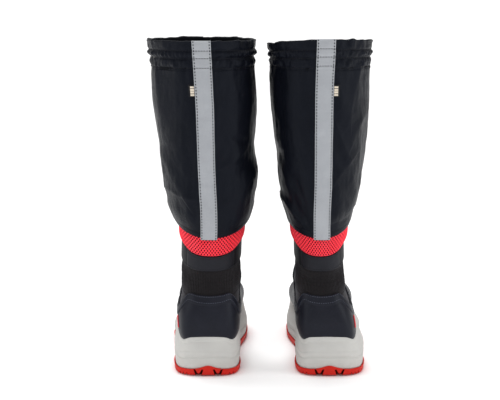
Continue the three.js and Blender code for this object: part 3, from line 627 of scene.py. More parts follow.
class Mat:
    """A small builder round one Principled shader."""

    def __init__(self, name, rough=0.6, spec=0.3, sheen=0.0, sheen_tint=(1, 1, 1, 1), metallic=0.0, coat=0.0, coat_rough=0.3, spec_tint=(1, 1, 1, 1)):
        self.m = bpy.data.materials.new(name)
        self.m.use_nodes = True
        self.nt = self.m.node_tree
        self.s = self.nt.nodes["Principled BSDF"]
        self.s.inputs["Roughness"].default_value = rough
        self.s.inputs["Specular IOR Level"].default_value = spec
        self.s.inputs["Metallic"].default_value = metallic
        self.s.inputs["Specular Tint"].default_value = spec_tint
        self.s.inputs["Sheen Weight"].default_value = sheen
        self.s.inputs["Sheen Roughness"].default_value = 0.5
        self.s.inputs["Sheen Tint"].default_value = sheen_tint
        self.s.inputs["Coat Weight"].default_value = coat
        self.s.inputs["Coat Roughness"].default_value = coat_rough
        tc = self.add("ShaderNodeTexCoord")
        self.obj, self.uv = tc.outputs["Object"], tc.outputs["UV"]
        self.normal = None

    def add(self, kind, **props):
        n = self.nt.nodes.new(kind)
        for k, v in props.items():
            setattr(n, k, v)
        return n

    def link(self, a, b):
        self.nt.links.new(a, b)

    def mapped(self, coord, scale=(1, 1, 1), rot=(0, 0, 0)):
        n = self.add("ShaderNodeMapping")
        n.inputs["Scale"].default_value = scale
        n.inputs["Rotation"].default_value = rot
        self.link(coord, n.inputs["Vector"])
        return n.outputs[0]

    def noise(self, coord, scale, detail=3, rough=0.55, distortion=0.0):
        n = self.add("ShaderNodeTexNoise")
        n.inputs["Scale"].default_value = scale
        n.inputs["Detail"].default_value = detail
        n.inputs["Roughness"].default_value = rough
        n.inputs["Distortion"].default_value = distortion
        self.link(coord, n.inputs["Vector"])
        return n.outputs["Fac"]

    def voronoi(self, coord, scale, feature="F1", output="Distance"):
        n = self.add("ShaderNodeTexVoronoi", feature=feature)
        n.inputs["Scale"].default_value = scale
        self.link(coord, n.inputs["Vector"])
        return n.outputs[output]

    def wave(self, coord, scale, direction="X", distortion=0.0, profile="SIN", detail=1.0):
        n = self.add("ShaderNodeTexWave", bands_direction=direction, wave_profile=profile)
        n.inputs["Scale"].default_value = scale
        n.inputs["Distortion"].default_value = distortion
        n.inputs["Detail"].default_value = detail
        self.link(coord, n.inputs["Vector"])
        return n.outputs["Fac"]

    def math(self, op, a, b=None, clamp=False):
        n = self.add("ShaderNodeMath", operation=op, use_clamp=clamp)
        for k, v in enumerate((a, b)):
            if v is None:
                continue
            if isinstance(v, (int, float)):
                n.inputs[k].default_value = v
            else:
                self.link(v, n.inputs[k])
        return n.outputs[0]

    def ramp(self, fac, *stops):
        n = self.add("ShaderNodeValToRGB")
        e = n.color_ramp.elements
        while len(e) < len(stops):
            e.new(0.5)
        for k, (pos, col) in enumerate(stops):
            e[k].position = pos
            e[k].color = col if len(col) == 4 else (*col, 1)
        self.link(fac, n.inputs[0])
        return n.outputs[0]

    def map(self, fac, lo, hi, a=0.0, b=1.0):
        n = self.add("ShaderNodeMapRange")
        for k, v in enumerate((a, b, lo, hi)):
            n.inputs[k + 1].default_value = v
        self.link(fac, n.inputs[0])
        return n.outputs[0]

    def mix(self, fac, a, b, blend="MIX"):
        n = self.add("ShaderNodeMix", data_type="RGBA", blend_type=blend)
        for k, v in ((0, fac), (6, a), (7, b)):
            if hasattr(v, "is_linked") or hasattr(v, "links"):
                self.link(v, n.inputs[k])
            else:
                n.inputs[k].default_value = v
        return n.outputs[2]

    def colour(self, out):
        self.link(out, self.s.inputs["Base Color"])
        return self

    def rough(self, out):
        self.link(out, self.s.inputs["Roughness"])
        return self

    def bump(self, height, distance, strength=1.0):
        n = self.add("ShaderNodeBump")
        n.inputs["Distance"].default_value = distance
        n.inputs["Strength"].default_value = strength
        self.link(height, n.inputs["Height"])
        if self.normal is not None:
            self.link(self.normal, n.inputs["Normal"])
        self.normal = n.outputs[0]
        self.link(self.normal, self.s.inputs["Normal"])
        return self


def woven(name, dark, light, pitch, rough=(0.5, 0.65), spec=0.2, sheen=0.1, depth=0.00008, cloud=26, tint=(1, 1, 1, 1), uv=True, spec_tint=(1, 1, 1, 1)):
    """Plain-woven cloth: threads over and under at pitch mm, from UVs in mm or object space."""
    m = Mat(name, spec=spec, sheen=sheen, sheen_tint=tint, spec_tint=spec_tint)
    c = m.uv if uv else m.mapped(m.obj, (1000, 1000, 1000))
    k = 1 / pitch  # the wave node draws 20 bands per 2 pi units
    s = k * math.pi / 10
    wx = m.wave(c, s, "X", 0.25)
    wy = m.wave(c, s, "Y" if uv else "Z", 0.25)
    weave = m.math("MULTIPLY", wx, wy)
    weave = m.math("ADD", weave, m.math("MULTIPLY", m.math("SUBTRACT", 1, wx), m.math("SUBTRACT", 1, wy)))
    slub = m.noise(m.mapped(m.obj, (1000, 1000, 1000)), 0.9, 2)
    clouds = m.noise(m.obj, cloud, 4, 0.6)
    tone = m.math("ADD", m.math("MULTIPLY", weave, 0.45), m.math("MULTIPLY", clouds, 0.55))
    m.colour(m.ramp(tone, (0.2, dark), (0.85, light)))
    m.rough(m.map(clouds, *rough, 0.3, 0.7))
    m.bump(weave, depth, 0.7)
    m.bump(slub, depth * 0.8, 0.5)
    m.bump(m.noise(m.obj, 160, 3), 0.00025, 0.35)
    return m.m


cloth = woven("gaiter_nylon", lin(7, 9, 14), lin(15, 17, 26), 0.62, (0.36, 0.48), 0.1, 0.0, cloud=22, spec_tint=(0.8, 0.87, 1, 1))
cloth_inside = woven("gaiter_backing", lin(8, 9, 12), lin(15, 16, 20), 0.8, (0.6, 0.75), 0.05, 0.0, cloud=30, spec_tint=(0.8, 0.87, 1, 1))


def make_reflective():
    m = Mat("reflective_tape", spec=0.45, metallic=0.0, sheen=0.0)
    c = m.uv
    cells = m.voronoi(m.mapped(c, (1.1, 1.1, 1)), 1.0)
    grain = m.noise(m.mapped(m.obj, (1000, 1000, 1000)), 1.6, 2)
    clouds = m.noise(m.obj, 30, 4, 0.6)
    scuff = m.noise(m.mapped(m.obj, (1000, 1000, 300)), 0.12, 5, 0.7)
    tone = m.math("ADD", m.math("MULTIPLY", grain, 0.3), m.math("ADD", m.math("MULTIPLY", clouds, 0.5), m.math("MULTIPLY", cells, 0.2)))
    base = m.ramp(tone, (0.25, lin(138, 141, 146)), (0.75, lin(162, 165, 170)))
    worn = m.map(scuff, 0.0, 0.55, 0.62, 0.75)
    m.colour(m.mix(worn, base, lin(126, 128, 132)))
    m.rough(m.map(clouds, 0.36, 0.5, 0.3, 0.7))
    m.bump(grain, 0.00004, 0.6)
    m.bump(m.noise(m.obj, 120, 3), 0.0002, 0.35)
    return m.m


def make_mesh():
    """Spacer mesh: bright strands in diamonds, and the openings between them painted near-black as painted shade inside
    the holes. UVs are in mm.
    """
    m = Mat("spacer_mesh_red", spec=0.1)
    sep = m.add("ShaderNodeSeparateXYZ")
    m.link(m.uv, sep.inputs[0])
    u, v = m.math("MULTIPLY", sep.outputs[0], math.pi / 5.4), m.math("MULTIPLY", sep.outputs[1], math.pi / 5.0)
    c1 = m.math("ABSOLUTE", m.math("COSINE", m.math("ADD", u, v)))
    c2 = m.math("ABSOLUTE", m.math("COSINE", m.math("SUBTRACT", u, v)))
    strand = m.math("MAXIMUM", c1, c2)
    clouds = m.noise(m.obj, 45, 3)
    fine = m.noise(m.mapped(m.obj, (1000, 1000, 1000)), 1.4, 2)
    base = m.ramp(clouds, (0.3, lin(250, 54, 68)), (0.7, lin(255, 72, 86)))
    # painted shade: the openings between the strands are coloured near-black red
    hole_shade = m.map(strand, 1.0, 0.0, 0.66, 0.84)
    m.colour(m.mix(hole_shade, base, lin(52, 3, 10)))
    m.rough(m.map(clouds, 0.6, 0.75, 0.3, 0.7))
    m.bump(strand, 0.0005, 0.8)
    m.bump(fine, 0.00015, 0.5)
    return m.m


def make_knit(name, dark, light, pitch=1.3):
    m = Mat(name, spec=0.12, sheen=0.12, sheen_tint=(0.9, 0.9, 1, 1))
    c = m.uv
    s = (1 / pitch) * math.pi / 10
    rows = m.wave(c, s * 1.25, "Y", 0.6, detail=1)
    cols = m.wave(c, s, "X", 0.3)
    loops = m.math("MULTIPLY", rows, cols)
    fuzz = m.noise(m.mapped(m.obj, (1000, 1000, 1000)), 0.8, 3)
    tone = m.math("ADD", m.math("MULTIPLY", loops, 0.5), m.math("MULTIPLY", fuzz, 0.5))
    m.colour(m.ramp(tone, (0.2, dark), (0.8, light)))
    m.s.inputs["Roughness"].default_value = 0.82
    m.bump(loops, 0.00014, 0.8)
    m.bump(fuzz, 0.0001, 0.5)
    return m.m


def make_overlay(name, dark, light, rough=(0.42, 0.55)):
    """Coated synthetic leather: fine pebbled grain, slightly scuffed."""
    m = Mat(name, spec=0.16, coat=0.02, coat_rough=0.4, spec_tint=(0.85, 0.9, 1, 1))
    p = m.mapped(m.obj, (1000, 1000, 1000))
    grain = m.voronoi(p, 0.95, "SMOOTH_F1")
    fine = m.noise(p, 1.6, 3)
    clouds = m.noise(m.obj, 34, 4, 0.6)
    tone = m.math("ADD", m.math("MULTIPLY", clouds, 0.65), m.math("MULTIPLY", grain, 0.35))
    m.colour(m.ramp(tone, (0.25, dark), (0.8, light)))
    m.rough(m.map(clouds, *rough, 0.3, 0.7))
    m.bump(grain, 0.00016, 0.55)
    m.bump(fine, 0.00006, 0.5)
    return m.m


def make_foam():
    m = Mat("midsole_foam", spec=0.18)
    p = m.mapped(m.obj, (1000, 1000, 1000))
    speck = m.noise(p, 0.7, 3)
    clouds = m.noise(m.obj, 22, 4, 0.6)
    base = m.ramp(clouds, (0.3, lin(188, 187, 184)), (0.7, lin(200, 199, 195)))
    # dust gathers low on the side wall
    z = m.add("ShaderNodeSeparateXYZ")
    m.link(m.obj, z.inputs[0])
    low = m.map(z.outputs[2], 1.0, 0.0, 0.012, 0.022)
    grime = m.math("MULTIPLY", low, m.map(m.noise(m.obj, 60, 5, 0.7), 0.0, 0.5, 0.4, 0.75))
    m.colour(m.mix(grime, base, lin(176, 171, 164)))
    m.rough(m.map(speck, 0.6, 0.75, 0.3, 0.7))
    m.bump(speck, 0.00008, 0.6)
    return m.m


def make_rubber():
    m = Mat("outsole_rubber", spec=0.1)
    p = m.mapped(m.obj, (1000, 1000, 1000))
    speck = m.noise(p, 0.8, 3)
    clouds = m.noise(m.obj, 28, 4, 0.6)
    base = m.ramp(clouds, (0.3, lin(194, 36, 28)), (0.7, lin(208, 44, 34)))
    dust = m.map(m.noise(m.obj, 70, 6, 0.72), 0.0, 0.4, 0.5, 0.8)
    m.colour(m.mix(dust, base, lin(158, 44, 36)))
    m.rough(m.map(speck, 0.5, 0.68, 0.3, 0.7))
    m.bump(speck, 0.00012, 0.7)
    return m.m


def make_plain(name, dark, light, rough=0.5, spec=0.4, metallic=0.0, scale=1.0, bump=0.00006, cloud=40):
    m = Mat(name, spec=spec, metallic=metallic)
    p = m.mapped(m.obj, (1000, 1000, 1000))
    fine = m.noise(p, scale, 3)
    clouds = m.noise(m.obj, cloud, 4, 0.6)
    m.colour(m.ramp(m.math("ADD", m.math("MULTIPLY", fine, 0.4), m.math("MULTIPLY", clouds, 0.6)), (0.3, dark), (0.75, light)))
    m.rough(m.map(clouds, rough - 0.08, rough + 0.08, 0.3, 0.7))
    m.bump(fine, bump, 0.6)
    return m.m


reflective = make_reflective()
mesh_red = make_mesh()
knit = make_knit("stretch_knit_black", lin(20, 18, 19), lin(38, 35, 37))
lining_knit = make_knit("lining_knit_black", lin(18, 18, 20), lin(32, 32, 35), 1.0)
overlay_mat = make_overlay("overlay_navy", lin(18, 19, 26), lin(31, 32, 41), (0.4, 0.52))
band_mat = make_overlay("collar_band_dark", lin(24, 24, 28), lin(37, 37, 42), (0.5, 0.62))
band_side_mat = make_overlay("collar_band_side", lin(14, 14, 17), lin(23, 23, 27), (0.55, 0.66))
overlay_back = make_plain("overlay_underside", lin(20, 20, 22), lin(30, 30, 32), 0.8, 0.1, bump=0.0001)
foam = make_foam()
rubber = make_rubber()
# darker rubber for the insides of the heel's notches and teeth: painted shade in the recesses
rubber_recess_shade = make_plain("outsole_rubber_painted_shade", lin(70, 14, 12), lin(96, 22, 18), 0.75, 0.08, 0.0, 0.9, 0.00012)
thread_dark = make_plain("thread_black", lin(10, 10, 13), lin(22, 22, 26), 0.7, 0.2, scale=3.0, bump=0.0001)
thread_light = make_plain("thread_grey", lin(96, 98, 104), lin(132, 134, 140), 0.6, 0.25, scale=3.0, bump=0.0001)
thread_slate = make_plain("thread_slate", lin(64, 68, 80), lin(88, 92, 106), 0.6, 0.2, scale=3.0, bump=0.0001)
thread_red = make_plain("thread_red", lin(150, 24, 34), lin(190, 40, 50), 0.7, 0.2, scale=3.0, bump=0.0001)
steel = make_plain("shank_steel", lin(140, 144, 150), lin(176, 180, 186), 0.34, 0.5, 1.0, 2.0, 0.00003)
board = make_plain("insole_fibre_board", lin(128, 116, 98), lin(158, 146, 126), 0.85, 0.15, 0.0, 0.7, 0.0002)
stiff_mat = make_plain("heel_stiffener_plastic", lin(112, 110, 106), lin(140, 138, 132), 0.6, 0.3, 0.0, 0.6, 0.0001)
elastic_mat = woven("hem_elastic_rubber_thread", lin(188, 184, 172), lin(226, 222, 210), 1.1, (0.7, 0.82), 0.2, 0.1, 0.0002, uv=False)
zip_tape_mat = woven("zip_tape_twill", lin(13, 14, 17), lin(27, 28, 32), 0.7, (0.6, 0.75), 0.15, 0.05, 0.0001)
teeth_mat = make_plain("zip_teeth_acetal", lin(18, 18, 20), lin(32, 32, 35), 0.34, 0.45, 0.0, 1.5, 0.00003)
slider_mat = make_plain("zip_slider_painted", lin(22, 23, 26), lin(44, 45, 49), 0.36, 0.5, 0.35, 2.0, 0.00004, 200)
pull_mat = make_plain("zip_pull_moulded", lin(20, 21, 24), lin(36, 37, 41), 0.5, 0.35, 0.0, 1.1, 0.00008, 150)
bar_red = make_plain("heel_bar_red", lin(196, 38, 48), lin(220, 58, 66), 0.5, 0.35)
footbed_mat = woven("footbed_red_fabric", lin(120, 24, 30), lin(168, 40, 48), 0.9, (0.75, 0.88), 0.1, 0.2, 0.00014, uv=False)
label_mat = woven("label_woven", lin(196, 184, 166), lin(226, 216, 200), 0.45, (0.6, 0.72), 0.15, 0.1, 0.00006)
label_edge = woven("label_woven_dark", lin(15, 15, 18), lin(27, 27, 31), 0.45, (0.6, 0.72), 0.15, 0.1, 0.00006)


# ------------------------------------------------------------------ the soft pieces above the ankle
def arc_uv(grid):
    """UVs in mm along both directions of a grid."""
    du = np.linalg.norm(np.diff(grid, axis=0), axis=-1)
    dv = np.linalg.norm(np.diff(grid, axis=1), axis=-1)
    mid = grid.shape[1] // 2
    U = np.concatenate([[0], np.cumsum(du[:, mid])])
    V = np.concatenate([np.zeros((grid.shape[0], 1)), np.cumsum(dv, 1)], 1)
    return np.stack([np.repeat(U[:, None], grid.shape[1], 1), V], -1)


def normals_of(points, centre_x, centre_y):
    n = np.stack([points[:, 0] - centre_x, points[:, 1] - centre_y, 0 * points[:, 2]], -1)
    return n / (np.linalg.norm(n, axis=1, keepdims=True) + 1e-9)


MESH_W, MESH_H = 5.4, 5.0  # the collar mesh's diamonds
ROWS = (11.4, 20.2, 31.0)  # the hem's stitch rows, below the upper edge


def hem_calm(b, t):
    return 1 - 0.93 * np.exp(-((across(b, t, 385 + 0 * t) / 12.5) ** 4))


def casing_off(b, t, down):
    """How far the hem's outer layer stands from the plain shape, at a depth below the upper edge."""
    calm, seed = hem_calm(b, t), b["seed"]
    tight = noise(t * 82, 0 * t + 0.5, down / 9, seed + 41) + 0.7 * noise(t * 57, 0 * t + 2.5, down / 7, seed + 43) + 0.45 * noise(t * 150, 0 * t + 6.5, down / 5, seed + 57)
    wide = noise(t * 47, 0 * t + 7.5, down / 30, seed + 45) + 0.5 * noise(t * 29, 0 * t + 1.5, down / 40, seed + 49)
    groove = sum(bump(down, r, w) for r, w in zip(ROWS, (1.5, 1.3, 0.9)))
    rope = np.sin(np.clip((down - ROWS[0]) / (ROWS[1] - ROWS[0]), 0, 1) * np.pi)
    tunnel = np.sin(np.clip((down - ROWS[1]) / (ROWS[2] - ROWS[1]), 0, 1) * np.pi)
    header = step(12.6, 6, down)
    beads = np.cos(2 * np.pi * (t * 78 + 0.9 * noise(t * 37, 0 * t + 3.5, down / 30, seed + 51) + down / 40)) * (0.55 + 0.45 * noise(t * 23, 0 * t + 5.5, 0 * t, seed + 53))
    flare = np.abs(rounded(2 * np.pi * np.asarray(t, float), 2.15)[1]) ** 8 * np.exp(-np.clip(down, 0, 60) / 7.0)
    o = 0.45 + 1.1 * rope * (0.3 + 0.7 * calm) + 0.5 * tunnel * calm - 1.0 * groove * (0.4 + 0.6 * calm) + 0.7 * header * step(3, 0, down) * calm
    o = o + calm * (1 - 0.55 * groove) * (1.35 * tight * (0.45 + rope + 0.7 * tunnel) + (0.6 + 0.9 * header) * wide + 0.6 * beads * (rope + 0.5 * tunnel)) + 1.2 * flare
    # never deeper than the elastic behind it
    return -0.95 + np.logaddexp(0, (o + 0.95) * 2.2) / 2.2


def top_wave(b, t):
    return hem_calm(b, t) * (0.9 * noise(t * 47, 0 * t + 7.5, 0 * t, b["seed"] + 45) + 0.8 * noise(t * 19, 0 * t + 1.5, 0 * t, b["seed"] + 47))


def build_shaft(b):
    n, side, body = b["name"], b["side"], b["name"] + "_shaft"
    # gaiter cloth
    nu, nv = 420, 232
    z = np.concatenate([np.linspace(0, 1, nv)])
    top = HEM_BOTTOM + 7.0
    frac = np.linspace(0, 1, nu)
    u = 0.5 + (frac - 0.5)
    grid = np.zeros((nu, nv, 3))
    inner = np.zeros((nu, nv, 3))
    T = np.zeros((nu, nv))
    Z = np.zeros((nu, nv))
    for k in range(nv):
        guess = 188 + z[k] * (top - 188)
        t0 = float(turn_at(b, guess, 5.6, False))
        tk = t0 + (1 - 2 * t0) * u
        low = lower_edge(tk)
        zz = low + (top - low) * z[k]
        T[:, k], Z[:, k] = tk, zz
    hem_in = 1.25 * step(HEM_BOTTOM - 1.2, HEM_BOTTOM + 1.0, Z)  # tucks under the casing
    low_dist = Z - lower_edge(T)
    roll = round_edge(low_dist, 1.3)
    seam = -0.35 * bump(low_dist, 6.5, 0.7)
    slot_dist = np.minimum(frac, 1 - frac)[:, None] * 400
    placket = 0.5 * step(9, 6, slot_dist) - 0.3 * bump(slot_dist, 8.2, 0.8)
    grid = gaiter(b, T, Z, seam + placket - 0.7 * roll - hem_in)
    inner = gaiter(b, T, Z, -WALL + 0.2 * roll - hem_in)
    verts, faces, uv, kind = slab(grid, inner, uv=arc_uv(grid))
    shell = new_piece(n + "_gaiter_cloth", verts, faces, [cloth, cloth_inside], body, n + "_gaiter_shell", uv, kind)

    # elastic top hem: one closed section run round the leg
    nt = 520
    t = np.arange(nt) / nt
    drop = [(33.4, "o"), (33.0, "o"), (32.0, "o")] + [(x, "o") for x in np.linspace(31.0, 3.0, 44)] + [(1.9, "o"), (0.9, "o")]
    prof = []
    up = upper_edge(b, t)
    wave = top_wave(b, t)
    cols = []
    for d, _ in drop:
        o = casing_off(b, t, np.full(nt, d))
        o = o - 0.9 * round_edge(d, 2.0) + (0.5 * (d - 32.0) * -0.4 if d > 32 else 0)
        height = up - d * (up - HEM_BOTTOM + 0.4) / 33.4 + wave * step(22, 0, d)
        cols.append(gaiter_base(b, t, height, o + folds(b, t, height) * step(24, 33, d)))
    crest = gaiter_base(b, t, up + wave - 0.1, casing_off(b, t, np.zeros(nt)) - 2.3)
    cols.append(crest)
    for d in [0.9, 1.9] + list(np.linspace(3.0, 33.0, 26)):
        o = casing_off(b, t, np.full(nt, d)) * 0.45 - 4.7 + 0.5 * round_edge(d, 2.0)
        height = up - d * (up - HEM_BOTTOM + 0.4) / 33.4 + wave * step(22, 0, d)
        cols.append(gaiter_base(b, t, height, np.minimum(o, -3.35)))
    for d in [33.0, 20.0, 10.5]:
        height = up - d * (up - HEM_BOTTOM + 0.4) / 33.4
        cols.append(gaiter_base(b, t, height, np.full(nt, -3.2)))
    for d in [10.5, 20.0, 33.0]:
        height = up - d * (up - HEM_BOTTOM + 0.4) / 33.4
        cols.append(gaiter_base(b, t, height, np.minimum(casing_off(b, t, np.full(nt, d)) - 1.0, -0.6)))
    ring = np.stack(cols, 1)
    uvr = np.zeros(ring.shape[:2] + (2,))
    uvr[..., 0] = t[:, None] * 410
    uvr[..., 1] = np.arange(ring.shape[1])[None, :] * 0.7
    verts, faces, uvs = torus(ring, uvr)
    inner_from = len(drop) + 1
    kind = ((np.asarray(faces) % ring.shape[1]).min(1) >= inner_from).astype(int)
    casing = new_piece(n + "_elastic_hem", verts, faces, [cloth, cloth_inside], body, n + "_top_casing", uvs, kind)
    half = 0.41 / 2
    # its three rows of stitches
    rows = []
    for r in ROWS:
        tt = np.linspace(0, 1, 721)
        height = upper_edge(b, tt) - r * (upper_edge(b, tt) - HEM_BOTTOM + 0.4) / 33.4 + top_wave(b, tt) * step(22, 0, r)
        hide = np.abs(across(b, tt, height)) < 10.5
        line = gaiter_base(b, tt, height, casing_off(b, tt, np.full(721, r)) + folds(b, tt, height) * step(24, 33, r) + 0.1)
        a, c = np.where(hide)[0][[0, -1]] if hide.any() else (360, 360)
        rows += [line[: a + 1], line[c:]]
    nrm = lambda p: normals_of(p, b["hx"] + b["lean"](p[:, 2]), OY + 66)
    v, f = stitches(rows, 3.2, 2.2, 0.4, nrm)
    new_piece(n + "_hem_stitches", v, f, thread_dark, body)
    # a stitch row above the gaiter's lower edge
    tt = np.linspace(0.02, 0.98, 500)
    hide = np.abs(across(b, tt, lower_edge(tt) + 6.5)) < 10.8
    line = gaiter(b, tt, lower_edge(tt) + 6.5, -0.1)
    a, c = np.where(hide)[0][[0, -1]]
    v, f = stitches([line[: a + 1], line[c:]], 3.2, 2.2, 0.32, nrm)
    new_piece(n + "_lower_edge_stitches", v, f, thread_dark, body)

    # reflective stripe over the back seam
    nw, nl = 25, 300
    topz = float(upper_edge(b, 0.5)) + 0.4
    vv = np.linspace(0, 1, nl)
    zz = 162.5 + (topz - 162.5) * vv
    zq = np.minimum(zz, topz - 0.3)
    width = 21.4 - 2.6 * (1 - vv)
    uu = np.concatenate([[0, 0.012, 0.04], np.linspace(0.08, 0.92, nw - 6), [0.96, 0.988, 1]])
    D = b["stripe"](zz)[None, :] + (uu[:, None] - 0.5) * width[None, :]
    Zs = np.repeat(zz[None, :], nw, 0)
    Ts = turn_at(b, Zs, D, True)
    down = topz - Zs
    on_casing = step(34.5, 31.5, down)
    o_case = casing_off(b, Ts, np.clip(down, 0, 40))
    under = (1 - on_casing) * folds(b, Ts, Zs) * step(170, 182, Zs) + on_casing * np.maximum(o_case, -0.1)
    edge = np.minimum(uu, 1 - uu)[:, None] * width[None, :]
    row = sum(bump(down, r, 0.9) for r in ROWS) * 0.25
    seam = 0.22 * bump(edge, 1.2, 0.5)
    o = under + 0.65 + 0.25 * step(0, 2.2, edge) - seam - row
    o = o + 0.3 * fbm(D / 11, Zs / 12, 0 * D, b["seed"] + 61, 3) + 0.28 * noise((D + 0.5 * Zs) / 30, Zs / 5.5, 0 * D, b["seed"] + 63)
    outer = gaiter_base(b, Ts, Zs, o + 0.75)
    inner = gaiter_base(b, Ts, Zs, o + 0.25)
    # the top of the tape turns over the hem's edge
    fold_over = step(2.4, 0.0, down)
    outer[..., 1] += side * 0 + fold_over * 1.6
    inner[..., 1] += fold_over * 1.6
    verts, faces, uv, kind = slab(outer, inner, uv=arc_uv(outer))
    tape = new_piece(n + "_reflective_tape", verts, faces, reflective, body, n + "_reflective_stripe", uv)
    lines = [outer[(np.abs(uu * 21.4 - 1.6)).argmin()], outer[(np.abs((1 - uu) * 21.4 - 1.6)).argmin()]]
    v, f = stitches(lines, 3.5, 2.1, 0.56, lambda p: np.repeat([[0, -1.0, 0]], len(p), 0), -0.15)
    new_piece(n + "_tape_stitches", v, f, thread_dark, body)

    # the hem's rows go over the tape
    cross = []
    for r in ROWS:
        k = np.abs(topz - zz - r).argmin()
        cross.append(outer[:, k] + [0, -0.05, 0])
    v, f = stitches(cross, 2.8, 2.1, 0.46, lambda p: np.repeat([[0, -1.0, 0]], len(p), 0), 0.1)
    new_piece(n + "_tape_row_stitches", v, f, thread_dark, body)

    # small folded label beside the tape
    nw, nl = 12, 40
    zl = np.linspace(332, 346, nl)
    ul = np.linspace(0, 1, nw)
    D = b["stripe"](zl)[None, :] + 21.4 / 2 - 0.3 + (ul[:, None] * 6.6)
    Zs = np.repeat(zl[None, :], nw, 0)
    Ts = turn_at(b, Zs, D, True)
    curl = 1.3 * ul[:, None] ** 2 + 0 * Zs + 0.35 * np.sin(Zs / 3.2) * ul[:, None]
    o = folds(b, Ts, Zs) + 0.35 + curl
    outer, inner = gaiter_base(b, Ts, Zs, o + 0.7), gaiter_base(b, Ts, Zs, o)
    uvl = arc_uv(outer)
    verts, faces, uv, kind = slab(outer, inner, uv=uvl)
    cz = np.array([verts[list(f)].mean(0)[2] for f in faces])
    cu = np.array([uv[list(f)].mean(0)[0] for f in faces])
    pale = (cu > 0.6) & (cu < 5.1) & (cz > 333.2) & (cz < 344.8) & ((cz - 333.2) % 2.9 < 2.2)
    stripe_face = 1 - pale.astype(int)
    label = new_piece(n + "_woven_label", verts, faces, [label_mat, label_edge], body, n + "_side_label", uv, stripe_face)

    # front zip: tape behind the cloth, two rows of teeth
    nw, nl = 27, 160
    zz = np.linspace(192, HEM_BOTTOM - 1.5, nl)
    dd = np.linspace(-13, 13, nw)
    Zs = np.repeat(zz[None, :], nw, 0)
    D = np.repeat(dd[:, None], nl, 1)
    Ts = turn_at(b, Zs, D, False)
    f0 = folds(b, Ts, Zs)
    outer, inner = gaiter_base(b, Ts, Zs, -WALL - 0.9 + f0), gaiter_base(b, Ts, Zs, -WALL - 1.6 + f0)
    verts, faces, uv, kind = slab(outer, inner, uv=arc_uv(outer))
    zip_cloth = new_piece(n + "_zip_tape_cloth", verts, faces, zip_tape_mat, body, n + "_zip_tape", uv)
    # the rows lie on the slider's own straight way
    slide = next(j for j in frame["record"]["behaviour"]["joints"] if j["name"] == n + "_zip_slide")["axis"]
    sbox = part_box(n + "_zip_slider")
    sx, sz = [(sbox[0][k] + sbox[1][k]) / 2 / MM for k in (0, 2)]
    way = lambda z, y: float(np.clip(y, y_top + (z - sz) * slide[1] / slide[2] - 0.1, y_top + (z - sz) * slide[1] / slide[2] + 0.1))
    y_top = float(gaiter_base(b, np.array(0.0), np.array(sz), float(folds(b, np.array(0.0), np.array(sz))))[1])
    V, F = [], []
    pitch = 2.1
    count = int((358.5 - 195) / pitch)
    for k in range(count * 2):
        s = -1 if k % 2 else 1
        zk = 195 + (k + 0.5) * pitch / 2
        base = gaiter_base(b, np.array(0.0), np.array(zk), float(folds(b, np.array(0.0), np.array(zk))))
        x0, x1 = (-0.75 * s, 2.7 * s)
        secs = [(x0, 0.42, 0.55, 0.35), (x0 + 0.35 * s, 0.6, 0.8, 0.2), (1.3 * s, 0.5, 0.62, 0.3), (2.2 * s, 0.62, 0.85, 0.2), (x1, 0.45, 0.6, 0.4)]
        start = len(V)
        for x, hz, hy, _ in secs:
            for a in range(8):
                ca, sa = math.cos(a * math.pi / 4), math.sin(a * math.pi / 4)
                V.append([sx + (zk - sz) * slide[0] / slide[2] + x, way(zk, base[1]) - WALL + 0.75 + hy * ca, zk + hz * sa])
        for q in range(4):
            for a in range(8):
                F.append([start + q * 8 + a, start + q * 8 + (a + 1) % 8, start + (q + 1) * 8 + (a + 1) % 8, start + (q + 1) * 8 + a])
        F.append([start + a for a in range(7, -1, -1)])
        F.append([start + 32 + a for a in range(8)])
    new_piece(n + "_zip_teeth_rows", V, F, teeth_mat, body, n + "_zip_teeth", angle=50)

    # padded mesh collar with its diamond lattice
    t = np.arange(640) / 640
    low = lambda y: band_top(y) + GAP * 1.4
    high = smooth_table([(-30, 180), (15, 182), (60, 185.5), (100, 188.5), (170, 193.5)])
    v = np.linspace(0, 1, 74)
    grid0, I, T = loft_columns(b, low, high, t, v, GAP + 3.0)
    length = np.concatenate([np.zeros((640, 1)), np.cumsum(np.linalg.norm(np.diff(grid0, axis=1), axis=-1), 1)], 1)
    total = length[:, -1:]
    edge = np.minimum(length, total - length)
    U = T * 68 * MESH_W  # mm round the leg, a whole number of diamonds
    a1, a2 = U / MESH_W + length / MESH_H, U / MESH_W - length / MESH_H
    lattice = np.maximum(np.abs(np.cos(np.pi * a1)), np.abs(np.cos(np.pi * a2))) ** 2
    off = GAP + 0.3 + 3.1 * np.sqrt(np.clip(1 - (1 - np.clip(edge / 3.6, 0, 1)) ** 2, 0, 1)) + 1.5 * (lattice - 0.62) * step(0.5, 2.5, edge)
    outer = skin(b, I, T, off)
    inner = skin(b, I, T, GAP)
    uv = np.stack([U, length], -1)
    verts, faces, uv2, kind = slab(outer, inner, True, uv=uv)
    collar = new_piece(n + "_mesh_collar_pad", verts, faces, mesh_red, body, n + "_mesh_collar", uv2)

